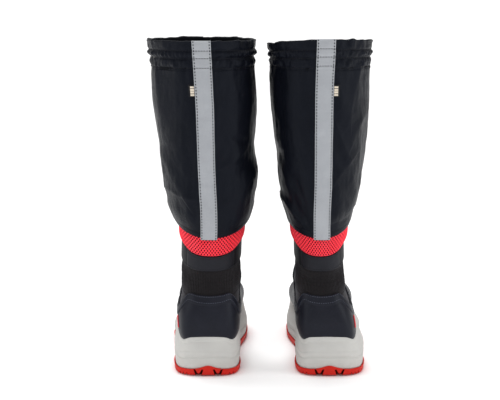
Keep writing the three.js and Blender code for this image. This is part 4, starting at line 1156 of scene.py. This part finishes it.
    # collar band
    t = np.arange(420) / 420
    v = np.linspace(0, 1, 30)
    g0, I, T = loft_columns(b, flex_high, band_top, t, v, 1.5)
    length = np.concatenate([np.zeros((420, 1)), np.cumsum(np.linalg.norm(np.diff(g0, axis=1), axis=-1), 1)], 1)
    edge = np.minimum(length, length[:, -1:] - length)
    sideways = b["side"] * (g0[..., 0] - b["hx"] - b["lean"](g0[..., 2])) / b["narrow"](g0[..., 2])
    behind = g0[..., 1] - OY < 60
    off = OUT - 0.9 * round_edge(edge, 1.3) - 0.28 * bump(edge, 2.6, 0.7) - behind * 0.5 * bump(np.abs(sideways), 29, 0.7) - step(29, 29.6, np.abs(sideways) + 99 * ~behind) * 0.35
    outer, inner = skin(b, I, T, off), skin(b, I, T, GAP)
    verts, faces, uv2, kind = slab(outer, inner, True, uv=arc_uv(outer))
    back_part = (np.abs(sideways) < 29) & behind
    where = np.concatenate([back_part.ravel(), back_part.ravel()])
    kind = np.where(kind == 0, np.where(where[np.asarray(faces)].all(1), 0, 2), 1)
    new_piece(n + "_collar_band_trim", verts, faces, [band_mat, overlay_back, band_side_mat], body, n + "_collar_band", uv2, kind)
    paths = []
    for target in (2.6,):
        for end in (0, 1):
            p = []
            for k in range(420):
                s = target if end == 0 else length[k, -1] - target
                if 0 < s < length[k, -1]:
                    p.append([np.interp(s, length[k], outer[k, :, c]) for c in range(3)])
            p.append(p[0])
            paths.append(np.array(p))
    nrm_foot = lambda p: normals_of(p, b["hx"] + b["lean"](p[:, 2]), OY + 72)
    v_, f_ = stitches(paths, 2.9, 1.9, 0.3, nrm_foot)
    new_piece(n + "_collar_band_stitches", v_, f_, thread_dark, body)

    # lining tube inside the shaft
    t = np.arange(260) / 260
    v = np.linspace(0, 1, 60)
    high = smooth_table([(-30, 182.5), (15, 183.5), (60, 186.5), (170, 194.5)])
    g0, I, T = loft_columns(b, flex_high, high, t, v, 0.0)
    length = np.concatenate([np.zeros((260, 1)), np.cumsum(np.linalg.norm(np.diff(g0, axis=1), axis=-1), 1)], 1)
    edge = length[:, -1:] - length
    puff = 0.5 * fbm(T * 14, length / 22, 0 * T, b["seed"] + 71, 2)
    outer = skin(b, I, T, -0.05 - 0.8 * round_edge(edge, 1.2))
    inner = skin(b, I, T, -BOOTIE_T + puff * step(0, 6, edge) * 0.6 + 0.6 * round_edge(edge, 1.2))
    verts, faces, uv2, kind = slab(outer, inner, True, uv=arc_uv(outer))
    new_piece(n + "_collar_lining_tube", verts, faces, [lining_knit, lining_knit], body, n + "_collar_lining", uv2, kind)

    # ribbed stretch panel between foot and shaft
    t = np.arange(672) / 672
    v = np.linspace(-0.04, 1.04, 46)
    g0, I, T = loft_columns(b, flex_low, flex_high, t, v, 0.0)
    ribs = 0.5 + 0.5 * np.cos(2 * np.pi * T * 112)
    soft = fbm(T * 9, 0 * T, v[None, :] * 1.6 + 0 * T, b["seed"] + 81, 2)
    mid = np.sin(np.clip(v, 0, 1) * np.pi)[None, :]
    cross = 0.16 * np.sin(np.clip(v, 0, 1)[None, :] * np.pi * 14)
    outer = skin(b, I, T, -0.25 + 0.7 * ribs**1.5 * (0.25 + 0.75 * mid) + 0.9 * soft * mid + cross * mid)
    inner = skin(b, I, T, -BOOTIE_T + 0.3 * soft * mid)
    verts, faces, uv2, kind = slab(outer, inner, True, uv=np.stack([T * 330, np.repeat(v[None, :] * 34, 672, 0)], -1))
    panel = new_piece(n + "_ankle_rib_knit", verts, faces, knit, None, n + "_ankle_stretch_panel", uv2)
    cx = b["hx"] + float(b["lean"](110))
    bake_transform(panel)


# ------------------------------------------------------------------ the foot
def skin_full(b, i, t, off=0.0):
    """The bootie's surface, closed over the toe for i from -1 to 0."""
    i, t = np.broadcast_arrays(np.asarray(i, float), np.asarray(t, float))
    off = np.broadcast_to(np.asarray(off, float), i.shape)
    p = skin(b, np.clip(i, 0, LAST), t, off)
    q = np.clip(-i, 0, 1)
    if (q > 0).any():
        c = (grid_at(b["P"], 0 * i, 0 * t) + grid_at(b["P"], 0 * i, 0 * t + 0.5)) / 2
        cap = c + (p - c) * np.cos(q * np.pi / 2)[..., None]
        cap[..., 1] += 3.0 * np.sin(q * np.pi / 2) + np.clip(off, 0, 9) * np.sin(q * np.pi / 2)
        p = np.where((q > 0)[..., None], cap, p)
    return p


def clip_params(I, T, F):
    """The part of a closed (section, turn) grid where F >= 0: params of the kept corners and faces."""
    nu, nv = F.shape  # the last column repeats the first, one turn on
    F = np.where(np.abs(F) < 1e-4, 1e-4, F)
    keep = F > 0
    count = keep[:-1, :-1].astype(int) + keep[1:, :-1] + keep[1:, 1:] + keep[:-1, 1:]
    verts, index, faces = [], {}, []
    key = lambda p: (p[0], p[1] % (nv - 1))

    def vertex(k, make):
        if k not in index:
            index[k] = len(verts)
            verts.append(make())
        return index[k]

    for u, v in zip(*np.where(count > 0)):
        ring = [(u, v), (u + 1, v), (u + 1, v + 1), (u, v + 1)]
        f = []
        for k in range(4):
            p, q = ring[k], ring[(k + 1) % 4]
            if keep[p]:
                f.append(vertex(key(p), lambda: (I[p], T[p] % 1.0, F[p])))
            if keep[p] != keep[q]:
                lo, hi = (p, q) if p < q else (q, p)
                s = min(max(F[lo] / (F[lo] - F[hi]), 0.03), 0.97)
                f.append(vertex((key(lo), key(hi)), lambda: (I[lo] + (I[hi] - I[lo]) * s, (T[lo] + (T[hi] - T[lo]) * s) % 1.0, 0.0)))
        if len(f) >= 3:
            faces.append(f)
    return np.array(verts), faces


def thick(outer, inner, faces):
    """A closed body from one surface's faces, with the other side and a rim."""
    n = len(outer)
    edges = {}
    for f in faces:
        for k in range(len(f)):
            e = (f[k], f[(k + 1) % len(f)])
            edges[e] = edges.get(e, 0) + 1
    rim = [e for e in edges if (e[1], e[0]) not in edges]
    back = [[v + n for v in reversed(f)] for f in faces]
    sides = [[e[1], e[0], e[0] + n, e[1] + n] for e in rim]
    allf = [list(f) for f in faces] + back + sides
    V = np.concatenate([outer, inner])
    kind = [0] * len(faces) + [1] * len(back) + [0] * len(sides)
    if volume(V, allf) < 0:
        allf = [f[::-1] for f in allf]
    return V, allf, kind


def weld(ob, d=2e-6):
    import bmesh

    bm = bmesh.new()
    bm.from_mesh(ob.data)
    bmesh.ops.remove_doubles(bm, verts=bm.verts, dist=d)
    bmesh.ops.dissolve_degenerate(bm, edges=bm.edges, dist=d)
    bm.to_mesh(ob.data)
    bm.free()


def overlay(b, name, node, poly, i0, i1, mats=None, lateral=None, base=GAP, top=OUT, seams=(), threads=None, raised=None, ni=None, nt=361, floor_cut=True, body="_foot", lift=None):
    """A piece glued on the bootie, cut to a side-view outline, with a rounded edge and seams."""
    ni = ni or max(12, int((i1 - i0) * 10))
    i, t = np.linspace(i0, i1, ni), np.linspace(0, 1, nt)
    I, T = np.meshgrid(i, t, indexing="ij")
    P = skin_full(b, I, T, top)
    y, z = P[..., 1] - OY, P[..., 2]
    F = polygon_distance(poly, y, z if lift is None else z - lift(b, P))
    if floor_cut:
        F = np.minimum(F, z - (floor_z(y) + 3.3))
    if lateral:
        lat = b["side"] * (P[..., 0] - b["hx"] - b["lean"](z))
        F = np.minimum(F, lat * lateral - 3.2)
    prm, faces = clip_params(I, T, F)
    d = prm[:, 2]
    rise = top - 0.85 * round_edge(d, 1.2) * (top - base) / 1.7
    for s in seams:
        rise = rise - 0.3 * bump(d, s, 0.75)
    if raised is not None:
        q = skin_full(b, prm[:, 0], prm[:, 1], top)
        rise = rise + raised(q[:, 1] - OY, q[:, 2] if lift is None else q[:, 2] - lift(b, q), d)
    outer = skin_full(b, prm[:, 0], prm[:, 1], rise)
    inner = skin_full(b, prm[:, 0], prm[:, 1], base + 0 * d)
    V, allf, kind = thick(outer, inner, faces)
    ob = new_piece(b["name"] + "_" + name, V, allf, mats or [overlay_mat, overlay_back], b["name"] + body, b["name"] + "_" + node if node else (), None, kind)
    weld(ob)
    if seams and threads:
        paths = []
        Q = skin_full(b, I, T, top - 0.1)
        for s in seams:
            paths += contour(Q, F, s)
        nrm = lambda p: surface_normals(b, p)
        v, f = stitches(paths, 2.9, 1.9, 0.3, nrm)
        new_piece(b["name"] + "_" + name + "_stitches", v, f, threads, b["name"] + body)
    return ob


def surface_normals(b, p):
    """Outward directions at points near the bootie, from the nearest point of the surface grid."""
    P = b["P"][::4, ::4].reshape(-1, 3)
    N = b["N"][::4, ::4].reshape(-1, 3)
    out = np.zeros_like(p)
    for k in range(0, len(p), 200):
        d = ((p[k : k + 200, None, :] - P[None]) ** 2).sum(-1)
        out[k : k + 200] = N[d.argmin(1)]
    return out


# plan outline of the sole, evenly spaced
def closed_catmull(points, samples):
    n = len(points)
    t = np.linspace(0, n, 24 * n, endpoint=False)
    k = np.floor(t).astype(int)
    f = (t - k)[:, None]
    a, b_, c, d = (points[(k + s) % n] for s in (-1, 0, 1, 2))
    # centripetal spacing, as the part's own outline
    def knot(p, q):
        return np.sqrt(np.linalg.norm(q - p, axis=1, keepdims=True)) + 1e-9
    t0 = np.zeros_like(f)
    t1 = t0 + knot(a, b_)
    t2 = t1 + knot(b_, c)
    t3 = t2 + knot(c, d)
    x = t1 + (t2 - t1) * f
    A1 = (t1 - x) / (t1 - t0) * a + (x - t0) / (t1 - t0) * b_
    A2 = (t2 - x) / (t2 - t1) * b_ + (x - t1) / (t2 - t1) * c
    A3 = (t3 - x) / (t3 - t2) * c + (x - t2) / (t3 - t2) * d
    B1 = (t2 - x) / (t2 - t0) * A1 + (x - t0) / (t2 - t0) * A2
    B2 = (t3 - x) / (t3 - t1) * A2 + (x - t1) / (t3 - t1) * A3
    C = (t2 - x) / (t2 - t1) * B1 + (x - t1) / (t2 - t1) * B2
    path = np.concatenate([C, C[:1]])
    s = np.concatenate([[0], np.cumsum(np.linalg.norm(np.diff(path, axis=0), axis=1))])
    q = np.linspace(0, s[-1], samples, endpoint=False)
    p = np.stack([np.interp(q, s, path[:, 0]), np.interp(q, s, path[:, 1])], -1)
    tan = np.roll(p, -1, 0) - np.roll(p, 1, 0)
    tan /= np.linalg.norm(tan, axis=1, keepdims=True)
    return p, np.stack([-tan[:, 1], tan[:, 0]], -1), s[-1]


EDGE_N = 300
EDGE, INWARD, EDGE_LENGTH = closed_catmull(OUTLINE, EDGE_N)
SOLE_CENTRE = np.array([-1.5, 150.0])


def sole_points(b, u, y, z):
    heel = 1 - step(90, 150, y)
    x = b["hx"] + b["side"] * u * (1 + b["heel_gain"] * heel) + b["wing"](z)
    return np.stack([x, y + OY, z + 0 * y], -1)


def sole_ring(b, r, inset, height):
    """One ring of the sole: r from the centre to the edge, inset in mm, height(y, edge y)."""
    e = EDGE + INWARD * (inset if np.ndim(inset) == 0 else np.asarray(inset)[:, None])
    p = SOLE_CENTRE + (e - SOLE_CENTRE) * r
    return sole_points(b, p[:, 0], p[:, 1], height(p[:, 1], EDGE[:, 1]))


def ring_body(b, rings, low, high):
    """A closed body from rings, with a centre point below and above."""
    R = np.array(rings)
    k, n = R.shape[:2]
    V = np.concatenate([R.reshape(-1, 3), [low], [high]])
    F = quads(k, n, False, True).tolist()
    F += [[k * n, (m + 1) % n, m] for m in range(n)]
    F += [[k * n + 1, (k - 1) * n + m, (k - 1) * n + (m + 1) % n] for m in range(n)]
    # one way round for all of them
    if volume(V, F) < 0:
        F = [f[::-1] for f in F]
    return V, F


def scratch_object(name, V, F):
    me = bpy.data.meshes.new(name)
    me.from_pydata((np.asarray(V) * MM).tolist(), [], [list(map(int, f)) for f in F])
    me.validate()
    import bmesh

    bm = bmesh.new()
    bm.from_mesh(me)
    bmesh.ops.remove_doubles(bm, verts=bm.verts, dist=1e-6)
    bmesh.ops.recalc_face_normals(bm, faces=bm.faces)
    bm.to_mesh(me)
    bm.free()
    ob = bpy.data.objects.new(name, me)
    bpy.context.scene.collection.objects.link(ob)
    return ob


def carve(ob, cutter, operation="DIFFERENCE", drop=True, overlapping=False):
    mod = ob.modifiers.new("cut", "BOOLEAN")
    mod.operation, mod.solver, mod.object = operation, "EXACT", cutter
    mod.use_self = overlapping
    deps = bpy.context.evaluated_depsgraph_get()
    me = bpy.data.meshes.new_from_object(ob.evaluated_get(deps))
    ob.modifiers.clear()
    old = ob.data
    ob.data = me
    bpy.data.meshes.remove(old)
    if drop:
        m = cutter.data
        bpy.data.objects.remove(cutter)
        bpy.data.meshes.remove(m)


def skin_body(b, off, ni=100, nt=200):
    """The whole bootie as a full body, grown by off."""
    i = np.concatenate([[-0.92, -0.75, -0.5, -0.25], np.linspace(0, LAST, ni)])
    t = np.arange(nt) / nt
    I, T = np.meshgrid(i, t, indexing="ij")
    P = skin_full(b, I, T, off)
    tip = skin_full(b, np.array(-1.0), np.array(0.0), np.array(float(off)))
    cap = (P[-1, 0] + P[-1, nt // 2]) / 2
    V = np.concatenate([P.reshape(-1, 3), [tip], [cap]])
    k = len(i)
    F = quads(k, nt, False, True).tolist()
    F += [[k * nt, (m + 1) % nt, m] for m in range(nt)]
    F += [[k * nt + 1, (k - 1) * nt + m, (k - 1) * nt + (m + 1) % nt] for m in range(nt)]
    return scratch_object("skin", V, F)


def finished(ob, name, mats, body, replaces, angle=35):
    ob.name = name
    ob.data.name = name
    ob.data.materials.clear()
    for m in mats:
        ob.data.materials.append(m)
    for p in ob.data.polygons:
        p.material_index = 0
    finish_mesh(ob.data, True, angle)
    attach(ob, body)
    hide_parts(replaces)
    return ob


def upper_gap(b):
    """For each point of the sole's outline, how far in the upper lies at the midsole's rim."""
    from mathutils.kdtree import KDTree

    P, N = (b["P"] + b["N"] * OUT)[::2, ::2].reshape(-1, 3), b["N"][::2, ::2].reshape(-1, 3)
    tree = KDTree(len(P))
    for k, p in enumerate(P):
        tree.insert(p, k)
    tree.balance()
    gap = np.zeros(EDGE_N)
    for s in range(EDGE_N):
        for d in np.arange(0, 16, 0.4):
            e = EDGE[s] + INWARD[s] * d
            q = sole_points(b, np.array(e[0]), np.array(e[1]), float(rim_z(EDGE[s, 1])))
            co, k, _ = tree.find(q)
            if np.dot(q - P[k], N[k]) < 0:
                break
        gap[s] = d
    for _ in range(6):  # even it out along the edge
        gap = (np.roll(gap, 1) + 2 * gap + np.roll(gap, -1)) / 4
    return gap


def build_foot(b):
    n, side, foot = b["name"], b["side"], b["name"] + "_foot"
    s = np.arange(EDGE_N)
    ey = EDGE[:, 1]
    # midsole: a moulded side wall with one groove and two soft steps
    base = lambda y: ground(y) + 6.5
    wall = []
    # (height, moved in) of the side wall; its upper half slopes in to meet the upper
    levels = [(0.0, 2.4), (0.03, 1.5), (0.08, 1.15), (0.14, 1.05), (0.19, 0.65), (0.25, 0.4), (0.31, 0.3), (0.345, 0.5), (0.362, 1.0), (0.377, 1.25), (0.392, 1.0), (0.41, 0.4), (0.44, 0.1), (0.49, 0.0), (0.53, 0.1), (0.552, 0.4), (0.568, 0.6), (0.584, 0.45), (0.61, 0.2), (0.66, 0.25), (0.72, 0.4), (0.78, 0.6), (0.82, 0.95), (0.84, 1.25), (0.856, 1.2), (0.88, 0.9), (0.92, 0.9), (0.95, 1.0), (0.98, 1.25), (1.0, 1.8)]
    gap = np.clip(upper_gap(b) - 1.9, 0, 8) * (1 - 0.9 * step(248, 282, ey))  # the toe's rim stands clear of the cap
    wob = 0.25 * np.cos(2 * np.pi * s / EDGE_N * 5 + 1.0)
    rings = [sole_ring(b, r, 2.6, lambda y, e: ground(y) + 6.5) for r in (0.3, 0.6, 0.85)]
    for h, inset in levels:
        rings.append(sole_ring(b, 1.0, inset + 0.05 * wob + gap * float(step(0.36, 1.0, h)), lambda y, e, h=h: base(e) + (rim_z(e) - base(e)) * h))
    rings.append(sole_ring(b, 1.0, gap + 3.2, lambda y, e: rim_z(e) - 0.5))
    rings.append(sole_ring(b, 0.6, 6.5, lambda y, e: np.minimum(rim_z(e) - 2, 46) + 0 * y))
    low = sole_points(b, np.array(SOLE_CENTRE[0]), np.array(SOLE_CENTRE[1]), 6.5)
    high = sole_points(b, np.array(SOLE_CENTRE[0]), np.array(SOLE_CENTRE[1]), 40.0)
    V, F = ring_body(b, rings, low, high)
    mid = scratch_object("midsole", V, F)
    carve(mid, skin_body(b, OUT + 0.15))
    finished(mid, n + "_midsole_foam", [foam], foot, n + "_midsole", 40)

    # outsole: a shallow cup whose edge rises between the two corners of the heel
    def top_edge(y, e):
        back = np.exp(-((e / 9.0) ** 2))
        lat = EDGE[:, 0] if len(np.atleast_1d(e)) == EDGE_N else 0
        return ground(e) + 7.9 + back * (3.6 * np.exp(-((lat / 9.0) ** 2)) - 0.7 * np.exp(-(((np.abs(lat) - 24) / 8.0) ** 2)))

    rings = [sole_ring(b, r, 1.6, lambda y, e: ground(y)) for r in (0.3, 0.6, 0.85)]
    rings += [sole_ring(b, 1.0, 1.9, lambda y, e: ground(e)), sole_ring(b, 1.0, 1.1, lambda y, e: ground(e) + 0.35), sole_ring(b, 1.0, 0.55, lambda y, e: ground(e) + 1.1), sole_ring(b, 1.0, 0.2, lambda y, e: ground(e) + 3.0), sole_ring(b, 1.0, -0.1, lambda y, e: ground(e) + 5.5)]
    rings += [sole_ring(b, 1.0, -0.3, lambda y, e: top_edge(y, e) - 1.6), sole_ring(b, 1.0, -0.35, lambda y, e: top_edge(y, e) - 0.8), sole_ring(b, 1.0, -0.1, lambda y, e: top_edge(y, e) - 0.2), sole_ring(b, 1.0, 0.5, lambda y, e: top_edge(y, e)), sole_ring(b, 1.0, 1.0, lambda y, e: top_edge(y, e) - 0.1)]
    rings += [sole_ring(b, 1.0, 1.3, lambda y, e: ground(e) + 6.3)] + [sole_ring(b, r, 2.4, lambda y, e: ground(y) + 6.2) for r in (0.8, 0.5)]
    V, F = ring_body(b, rings, sole_points(b, np.array(-1.5), np.array(150.0), 0.0), sole_points(b, np.array(-1.5), np.array(150.0), 6.2))
    out = scratch_object("outsole", V, F)
    CV, CF = [], []

    def block(cx, cy, w, l, yaw, z0, z1, taper=0.8):
        st = len(CV)
        for zz, g in ((z0, 1.0), (z1, taper)):
            for ax, ay in ((-1, -1), (1, -1), (1, 1), (-1, 1)):
                x, y = ax * w / 2, ay * l / 2 * g
                CV.append([cx + x * math.cos(yaw) - y * math.sin(yaw), cy + x * math.sin(yaw) + y * math.cos(yaw), zz])
        CF.extend([[st + 3, st + 2, st + 1, st], [st + 4, st + 5, st + 6, st + 7]] + [[st + k, st + (k + 1) % 4, st + 4 + (k + 1) % 4, st + 4 + k] for k in range(4)])

    for gy, yaw in [(48, 0.1), (74, -0.1), (104, 0.12), (133, -0.12), (160, 0.1), (186, -0.1), (211, 0.1), (236, -0.1), (260, 0.1), (281, -0.1)]:
        block(b["hx"], gy + OY, 130, 7.0, side * yaw, -10, float(ground(gy)) + 4.2, 0.75)
    block(b["hx"] - 2 * side, 165 + OY, 7.4, 236, 0, -10, 4.1, 1.0)
    for dx in (-11.5, 11.5):  # the two notches in the back of the heel
        st = len(CV)
        # each is a W: two slanted slots that meet at the bottom
        shape = ((-3.0, 0.9), (3.0, 0.9), (4.2, 3.0), (5.8, 8.3), (4.0, 8.8), (1.6, 4.4), (0, 3.2), (-1.6, 4.4), (-4.0, 8.8), (-5.8, 8.3), (-4.2, 3.0))
        for yy in (-8, 7.5):
            for x, zz in shape:
                CV.append([b["hx"] + dx * (1 + b["heel_gain"]) + b["wing"](0) + x, yy + OY, zz])
        q = len(shape)
        CF.append([st + k for k in range(q)])
        CF.append([st + q + k for k in range(q - 1, -1, -1)])
        CF.extend([[st + (k + 1) % q, st + k, st + q + k, st + q + (k + 1) % q] for k in range(q)])
    for dx in (-33.5, -29.5, -25.5, 25.5, 29.5, 33.5):  # fine teeth on the heel's two corners
        st = len(CV)
        for yy in (-8, 0.011 * dx * dx + 4.2):
            for x, zz in ((-1.2, -1.2), (1.2, -1.2), (0.3, 4.0), (0, 4.3), (-0.3, 4.0)):
                CV.append([b["hx"] + dx * (1 + b["heel_gain"]) + b["wing"](0) + x, yy + OY, zz])
        CF.append([st + k for k in range(5)])
        CF.append([st + 5 + k for k in range(4, -1, -1)])
        CF.extend([[st + (k + 1) % 5, st + k, st + 5 + k, st + 5 + (k + 1) % 5] for k in range(5)])
    # short sipes in each lug
    for gy in (61, 89, 118, 146, 173, 198, 223, 248):
        for dx in (-24, 20):
            block(b["hx"] + dx, gy + OY, 15, 1.5, 0.25 * (1 if dx > 0 else -1), -10, float(ground(gy)) + 2.2, 1.0)
    cutters = scratch_object("cut", CV, CF)
    carve(out, cutters, overlapping=True)
    finished(out, n + "_outsole_lugged", [rubber, rubber_recess_shade], foot, n + "_outsole", 30)
    # the insides of the heel's notches and teeth get the darker rubber: painted shade in the recesses
    for p in out.data.polygons:
        x, y, z = (c / MM for c in p.center)
        lateral = abs(x - b["hx"] - float(b["wing"](0)))
        if z < 9.6 and lateral < 19 and 1.2 < y - OY < 8.4 and abs(p.normal.z) < 0.9 and (abs(p.normal.x) > 0.35 or y - OY > 5.0):
            p.material_index = 1

    # footbed
    gu, gy = np.linspace(-60, 60, 61), np.linspace(8, 292, 143)
    Ug, Yg = np.meshgrid(gu, gy, indexing="ij")
    crown = 1.1 * np.clip(np.abs(Ug) / 30, 0, 1.2) ** 2 - 0.7 * np.exp(-(((Yg - 38) / 26) ** 2 + (Ug / 20) ** 2))
    topz = floor_z(Yg) + 11 + crown
    lowz = floor_z(Yg) + 6.6
    outer, inner = sole_points(b, Ug, Yg, topz), sole_points(b, Ug, Yg, lowz)
    V, F, _, _ = slab(outer, inner)
    bed = scratch_object("bed", V, F)
    carve(bed, skin_body(b, -BOOTIE_T - 0.4, 70, 120), "INTERSECT")
    finished(bed, n + "_footbed_pad", [footbed_mat], foot, n + "_footbed", 50)

    # bootie: the knit body inside the overlays, open at the ankle
    t = np.arange(220) / 220
    iv = np.concatenate([[-1, -0.8, -0.6, -0.4, -0.2], np.linspace(0, 1, 110)])
    top_i = row_of(b, flex_low, t)
    I = np.where(iv[None, :] < 0, iv[None, :], iv[None, :] * top_i[:, None])
    T = np.repeat(t[:, None], len(iv), 1)
    outer = skin_full(b, I, T, 0.0 * I)
    inner = skin_full(b, I, T, -BOOTIE_T + 0 * I)
    inner[:, 0] = inner[:, 0].mean(0)
    outer[:, 0] = outer[:, 0].mean(0)
    V, F, uv2, kind = slab(outer, inner, True, uv=np.stack([T * 300, I * 14], -1))
    boot = new_piece(n + "_bootie_knit", V, F, [knit, lining_knit], foot, n + "_bootie", uv2, kind)
    weld(boot)

    # overlays
    overlay(b, "toe_cap_overlay", "toe_cap", [(252, 22), (250, 40), (254, 60), (262, 90), (330, 90), (330, 22)], -1, 3.2, seams=(2.6, 5.0), threads=thread_dark, ni=60, raised=lambda y, z, d: 0.25 * fbm(y / 14, z / 14, 0 * y, 3, 2))
    overlay(b, "vamp_overlay", "vamp", [(186, 30), (176, 60), (170, 90), (176, 120), (259.5, 120), (253.5, 60.5), (249.5, 40), (251.5, 22), (190, 22)], 1.4, 8.6, seams=(2.6,), threads=thread_dark, ni=84, raised=lambda y, z, d: 0.35 * fbm(y / 16, z / 16, 0 * y, 5, 2))
    quarter = [(112, 22), (110, 50), (103, 80), (108, 104.5), (126, 113), (142, 116), (160, 104), (169, 91), (175.4, 60), (185.4, 30), (186, 22)]
    overlay(b, "quarter_lateral_overlay", "quarter_lateral", quarter, 4.4, 12.5, lateral=1, seams=(2.6, 5.0), threads=thread_dark, ni=96)
    overlay(b, "quarter_medial_overlay", "quarter_medial", quarter, 4.4, 12.5, lateral=-1, seams=(2.6, 5.0), threads=thread_dark, ni=96)

    # heel counter: a raised band runs along its top edge, between two rows of light stitches
    counter_top = smooth_table([(-30, 94), (8, 95.5), (14, 94.5), (22, 88.5), (31, 82), (42, 78), (60, 76), (80, 75), (103.2, 77)])

    def corners(b, p):
        """The counter's top edge stands higher at the heel's two corners and dips between them."""
        u = np.abs(p[..., 0] - b["hx"] - b["lean"](p[..., 2])) / b["narrow"](p[..., 2])
        return step(34, 16, p[..., 1] - OY) * (1.6 + 3.8 * np.exp(-(((u - 27.5) / 8.0) ** 2)) - 1.2 * np.exp(-((u / 13) ** 2)))

    def depth(y, z):
        slope = (counter_top(y + 0.5) - counter_top(y - 0.5)) / 1.0
        return (counter_top(y) - z) / np.sqrt(1 + slope * slope)

    def band(y, z, d):
        below = depth(y, z)
        return 0.75 * step(11.6, 10.2, below) * step(-0.2, 0.9, below) - 0.22 * bump(below, 1.9, 0.6) - 0.2 * bump(below, 9.0, 0.6) - 0.3 * bump(below, 12.6, 0.8)

    heel = [(-30, 20), (-30, 94), (8, 95.5), (14, 94.5), (22, 88.5), (31, 82), (42, 78), (60, 76), (80, 75), (103.2, 77), (109.4, 50), (111.4, 22)]
    overlay(b, "heel_counter_overlay", "heel_counter", heel, 7.6, 14.6, seams=(), raised=band, ni=150, nt=481, lift=corners)
    i, t = np.linspace(8.5, 14.6, 150), np.linspace(0.12, 0.88, 361)
    I, T = np.meshgrid(i, t, indexing="ij")
    Q = skin_full(b, I, T, OUT + 0.62)
    below = depth(Q[..., 1] - OY, Q[..., 2] - corners(b, Q))
    nrm = lambda p: surface_normals(b, p)
    paths = []
    for level in (1.9, 9.0):
        for c in contour(Q, below, level):
            c = c[c[:, 1] - OY < 96]
            if len(c) > 8:
                paths.append(c)
    v, f = stitches(paths, 2.7, 1.8, 0.36, nrm)
    new_piece(n + "_heel_counter_stitches", v, f, thread_slate, foot)
    overlay(b, "heel_bar_mark", "heel_bar", [(22, 54), (26.5, 54), (33, 68), (28.5, 68)], 9, 13.5, mats=[bar_red, bar_red], lateral=1, base=OUT + 0.1, top=OUT + 1.1, ni=110, nt=721, floor_cut=False)


for b in BOOTS.values():
    build_shaft(b)
    build_foot(b)

# ------------------------------------------------------------------ carried-over nodes
for name in BOOTS:
    for node, m in (("shank", steel), ("insole_board", board), ("heel_stiffener", stiff_mat), ("hem_elastic", elastic_mat), ("zip_slider", slider_mat), ("zip_pull", pull_mat)):
        ob = frame["nodes"][name + "_" + node]
        ob = ob if hasattr(ob, "data") else bpy.data.objects[name + "_" + node]
        if ob.material_slots:
            for slot in ob.material_slots:
                slot.material = m
        else:
            ob.data.materials.append(m)

# ------------------------------------------------------------------ floor, light and camera
def stage_floor():
    m = Mat("studio_floor", rough=0.9, spec=0.1)
    m.s.inputs["Emission Color"].default_value = (1, 1, 1, 1)
    m.s.inputs["Emission Strength"].default_value = 0.24
    # painted contact shadow: an ambient occlusion node darkens the floor's glow toward a reddish grey where the soles
    # stand
    near = m.add("ShaderNodeAmbientOcclusion")
    near.samples = 16
    near.inputs["Distance"].default_value = 0.035
    open_ = m.map(near.outputs["AO"], 0.0, 1.0, 0.44, 0.8)
    shade = m.mix(open_, lin(116, 90, 90), (0.93, 0.93, 0.93, 1))
    m.colour(shade)
    m.link(shade, m.s.inputs["Emission Color"])
    m.colour(m.ramp(m.noise(m.obj, 2.0, 2), (0.3, (0.90, 0.90, 0.90)), (0.7, (0.93, 0.93, 0.93))))
    me = bpy.data.meshes.new("floor")
    g = np.linspace(-1, 1, 41)
    g = np.sign(g) * np.abs(g) ** 3 * 60
    V = [[x, y, 0.0] for x in g for y in g]
    me.from_pydata(V, [], quads(41, 41).tolist())
    me.materials.append(m.m)
    ob = bpy.data.objects.new("studio_floor", me)
    bpy.context.scene.collection.objects.link(ob)
    ob.location.z = -0.0002


stage_floor()
world = bpy.data.worlds.new("studio")
bpy.context.scene.world = world
world.use_nodes = True
bg = world.node_tree.nodes["Background"]
bg.inputs[0].default_value = (1, 1, 1, 1)
bg.inputs[1].default_value = 0.42


def area(name, at, to, size, power, colour=(1, 1, 1)):
    L = bpy.data.lights.new(name, "AREA")
    L.shape, L.size, L.size_y, L.energy, L.color = "RECTANGLE", size[0], size[1], power, colour
    ob = bpy.data.objects.new(name, L)
    ob.location = at
    ob.rotation_euler = (Vector(to) - Vector(at)).to_track_quat("-Z", "Y").to_euler()
    bpy.context.scene.collection.objects.link(ob)


sun = bpy.data.lights.new("sky_sun", "SUN")
sun.energy, sun.angle = 1.9, math.radians(28)
so = bpy.data.objects.new("sky_sun", sun)
so.rotation_euler = (math.radians(-14), math.radians(-5), 0)
bpy.context.scene.collection.objects.link(so)
area("right_softbox", (1.5, -0.7, 0.75), (0.05, 0, 0.2), (0.7, 1.1), 9)
area("left_softbox", (-1.5, -0.6, 0.8), (-0.05, 0, 0.22), (0.7, 1.1), 6)
area("back_softbox", (-0.2, -1.9, 1.7), (0, 0, 0.2), (1.4, 0.9), 9)

cam_data = bpy.data.cameras.new("camera")
cam_data.lens, cam_data.sensor_width = 122.4, 36.0
cam = bpy.data.objects.new("camera", cam_data)
cam.location = (-0.011346, -2.10781, 0.5)
cam.rotation_euler = (math.radians(90 - 8.38), 0, 0)
bpy.context.scene.collection.objects.link(cam)
bpy.context.scene.camera = cam
bpy.context.scene.view_settings.view_transform = "Standard"
